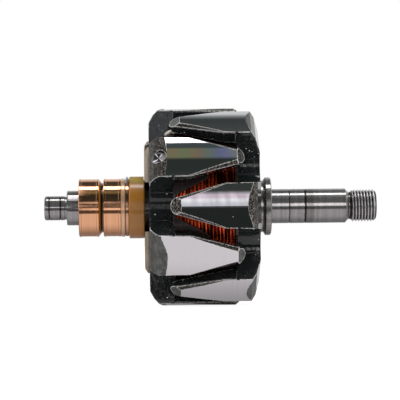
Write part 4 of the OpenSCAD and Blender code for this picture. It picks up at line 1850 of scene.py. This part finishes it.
@dataclass
class Rotor:
    """The whole rotor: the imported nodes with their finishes, and the new pieces.

    Attributes:
        nodes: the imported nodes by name.
    """

    nodes: dict[str, bpy.types.Object]

    def _dress(self, finishes: dict[str, TurnedMetal | MouldedResin]) -> None:
        """Gives each of these nodes its finish."""
        for name, finish in finishes.items():
            dress(self.nodes[name], finish.material())

    def _pole(self, end: PoleEnd) -> bpy.types.Material:
        """Finish of one claw pole, from its own box.

        Args:
            end: which pole it is.

        Returns:
            The material.
        """
        low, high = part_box(end.node)
        drive = end is PoleEnd.DRIVE
        return PoleFinish(
            end=end,
            face=high.x if drive else low.x,
            radius=max(high.y, high.z),
            first_finger=0.0 if drive else math.radians(30.0),
            shoulder=(6.9 if drive else 8.3) * MM,
            shoulder_bow=(3.6 if drive else 1.0) * MM,
            half_width=11.1 * MM,
            disc=11.2 * MM,
            bare_finger=0.0 if drive else math.radians(30.0),
            glint_share=1.0 if drive else 0.55,
            horned_finger=math.radians(-30.0),
            horn=(0.0 if drive else 2.2) * MM,
            drilling=None if drive else 4.6 * MM,
        ).material()

    def dress_poles(self) -> None:
        """Dresses both claw poles and the core between them."""
        for end in PoleEnd:
            dress(self.nodes[end.node], self._pole(end))
        plain = TurnedMetal("plain_steel", (0.34, 0.34, 0.34), (0.16, 0.15, 0.14), 0.3)
        self._dress({"pole_core": plain})

    def dress_former(self) -> None:
        """Dresses the coil's former."""
        sheet = VarnishedSheet().material()
        for name in ("former_tube", "drive_end_cheek", "slip_ring_end_cheek"):
            dress(self.nodes[name], sheet)

    def dress_slip_rings(self) -> None:
        """Dresses the rings, the bands beside them and the moulding that carries them."""
        copper = TurnedMetal(
            "track_copper",
            pale=(0.84, 0.445, 0.255),
            dark=(0.66, 0.33, 0.18),
            roughness=0.075,
            marks=330.0,
            stain=0.10,
            mark_share=0.55,
        )
        moulding = MouldedResin(
            "ochre_moulding",
            light=(0.325, 0.126, 0.001),
            deep=(0.285, 0.104, 0.0005),
            roughness=0.28,
            grain=700.0,
            relief=0.01 * MM,
            coat=1.0,
            coat_roughness=0.17,
            shine=0.3,
            gaps=((-84.0 * MM, -82.5 * MM),),
        )
        potting = MouldedResin(
            "mustard_potting",
            light=(0.34, 0.215, 0.012),
            deep=(0.13, 0.075, 0.005),
            roughness=0.45,
            grain=1100.0,
            relief=0.25 * MM,
        )
        band = TurnedMetal("cream_band", (0.66, 0.44, 0.29), (0.42, 0.26, 0.16), 0.14, haze=0.45)
        self._dress(
            {
                "outer_slip_ring": copper,
                "inner_slip_ring": copper,
                "resin_band": band,
                "terminal_ring": TurnedMetal("dull_copper", (0.62, 0.36, 0.22), (0.30, 0.16, 0.09), 0.12),
                "slip_ring_moulding": moulding,
                "lead_slot_resin": potting,
            }
        )

    def dress_lead_end(self) -> None:
        """Dresses the plate, the spacer behind it, the wire end and the stop collar."""
        board = MouldedResin("tan_board", (0.27, 0.22, 0.16), (0.16, 0.12, 0.08), 0.6, grain=600.0)
        gloss = MouldedResin(
            "black_gloss",
            light=(0.012, 0.013, 0.016),
            deep=(0.005, 0.006, 0.008),
            roughness=0.04,
            grain=500.0,
            relief=0.1 * MM,
            coat=1.0,
        )
        collar = TurnedMetal(
            "collar_steel",
            pale=(0.36, 0.352, 0.345),
            dark=(0.17, 0.163, 0.155),
            roughness=0.14,
            marks=900.0,
            stain=0.3,
            haze=0.15,
        )
        self._dress(
            {
                "lead_plate": board,
                "hub_spacer": gloss,
                "lead_tail": TurnedMetal("soldered_wire", (0.62, 0.64, 0.68), (0.22, 0.22, 0.26), 0.2),
                "stop_collar": collar,
            }
        )

    def build(self) -> None:
        """Dresses every node and builds the new pieces."""
        self.dress_poles()
        self.dress_former()
        self.dress_slip_rings()
        self.dress_lead_end()
        low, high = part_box("shaft")
        Shaft(low.x, high.x).build()
        coil_low, coil_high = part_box("field_coil")
        coil = FieldCoil(coil_low.x, coil_high.x, coil_high.z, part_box("former_tube")[1].z)
        coil.build()
        coil.build_bundle()
        CoilLead("front_lead_sleeve", "front_lead", math.radians(66.0)).build()
        CoilLead("rear_lead_sleeve", "rear_lead", math.radians(114.0)).build()


def main() -> None:
    """Loads the frame, builds the studio on the solid's box, and builds the rotor."""
    logging.basicConfig(level=logging.INFO, format="%(name)s %(message)s")
    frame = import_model()
    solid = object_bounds()
    studio = Studio(
        floor=solid[0].z,
        eye=Vector((-68.0, -1090.0, -11.0)) * MM,
        aim=Vector((-34.85, 0.0, 3.4)) * MM,
    )
    studio.build()
    Rotor(frame["nodes"]).build()


if __name__ == "__main__":
    main()
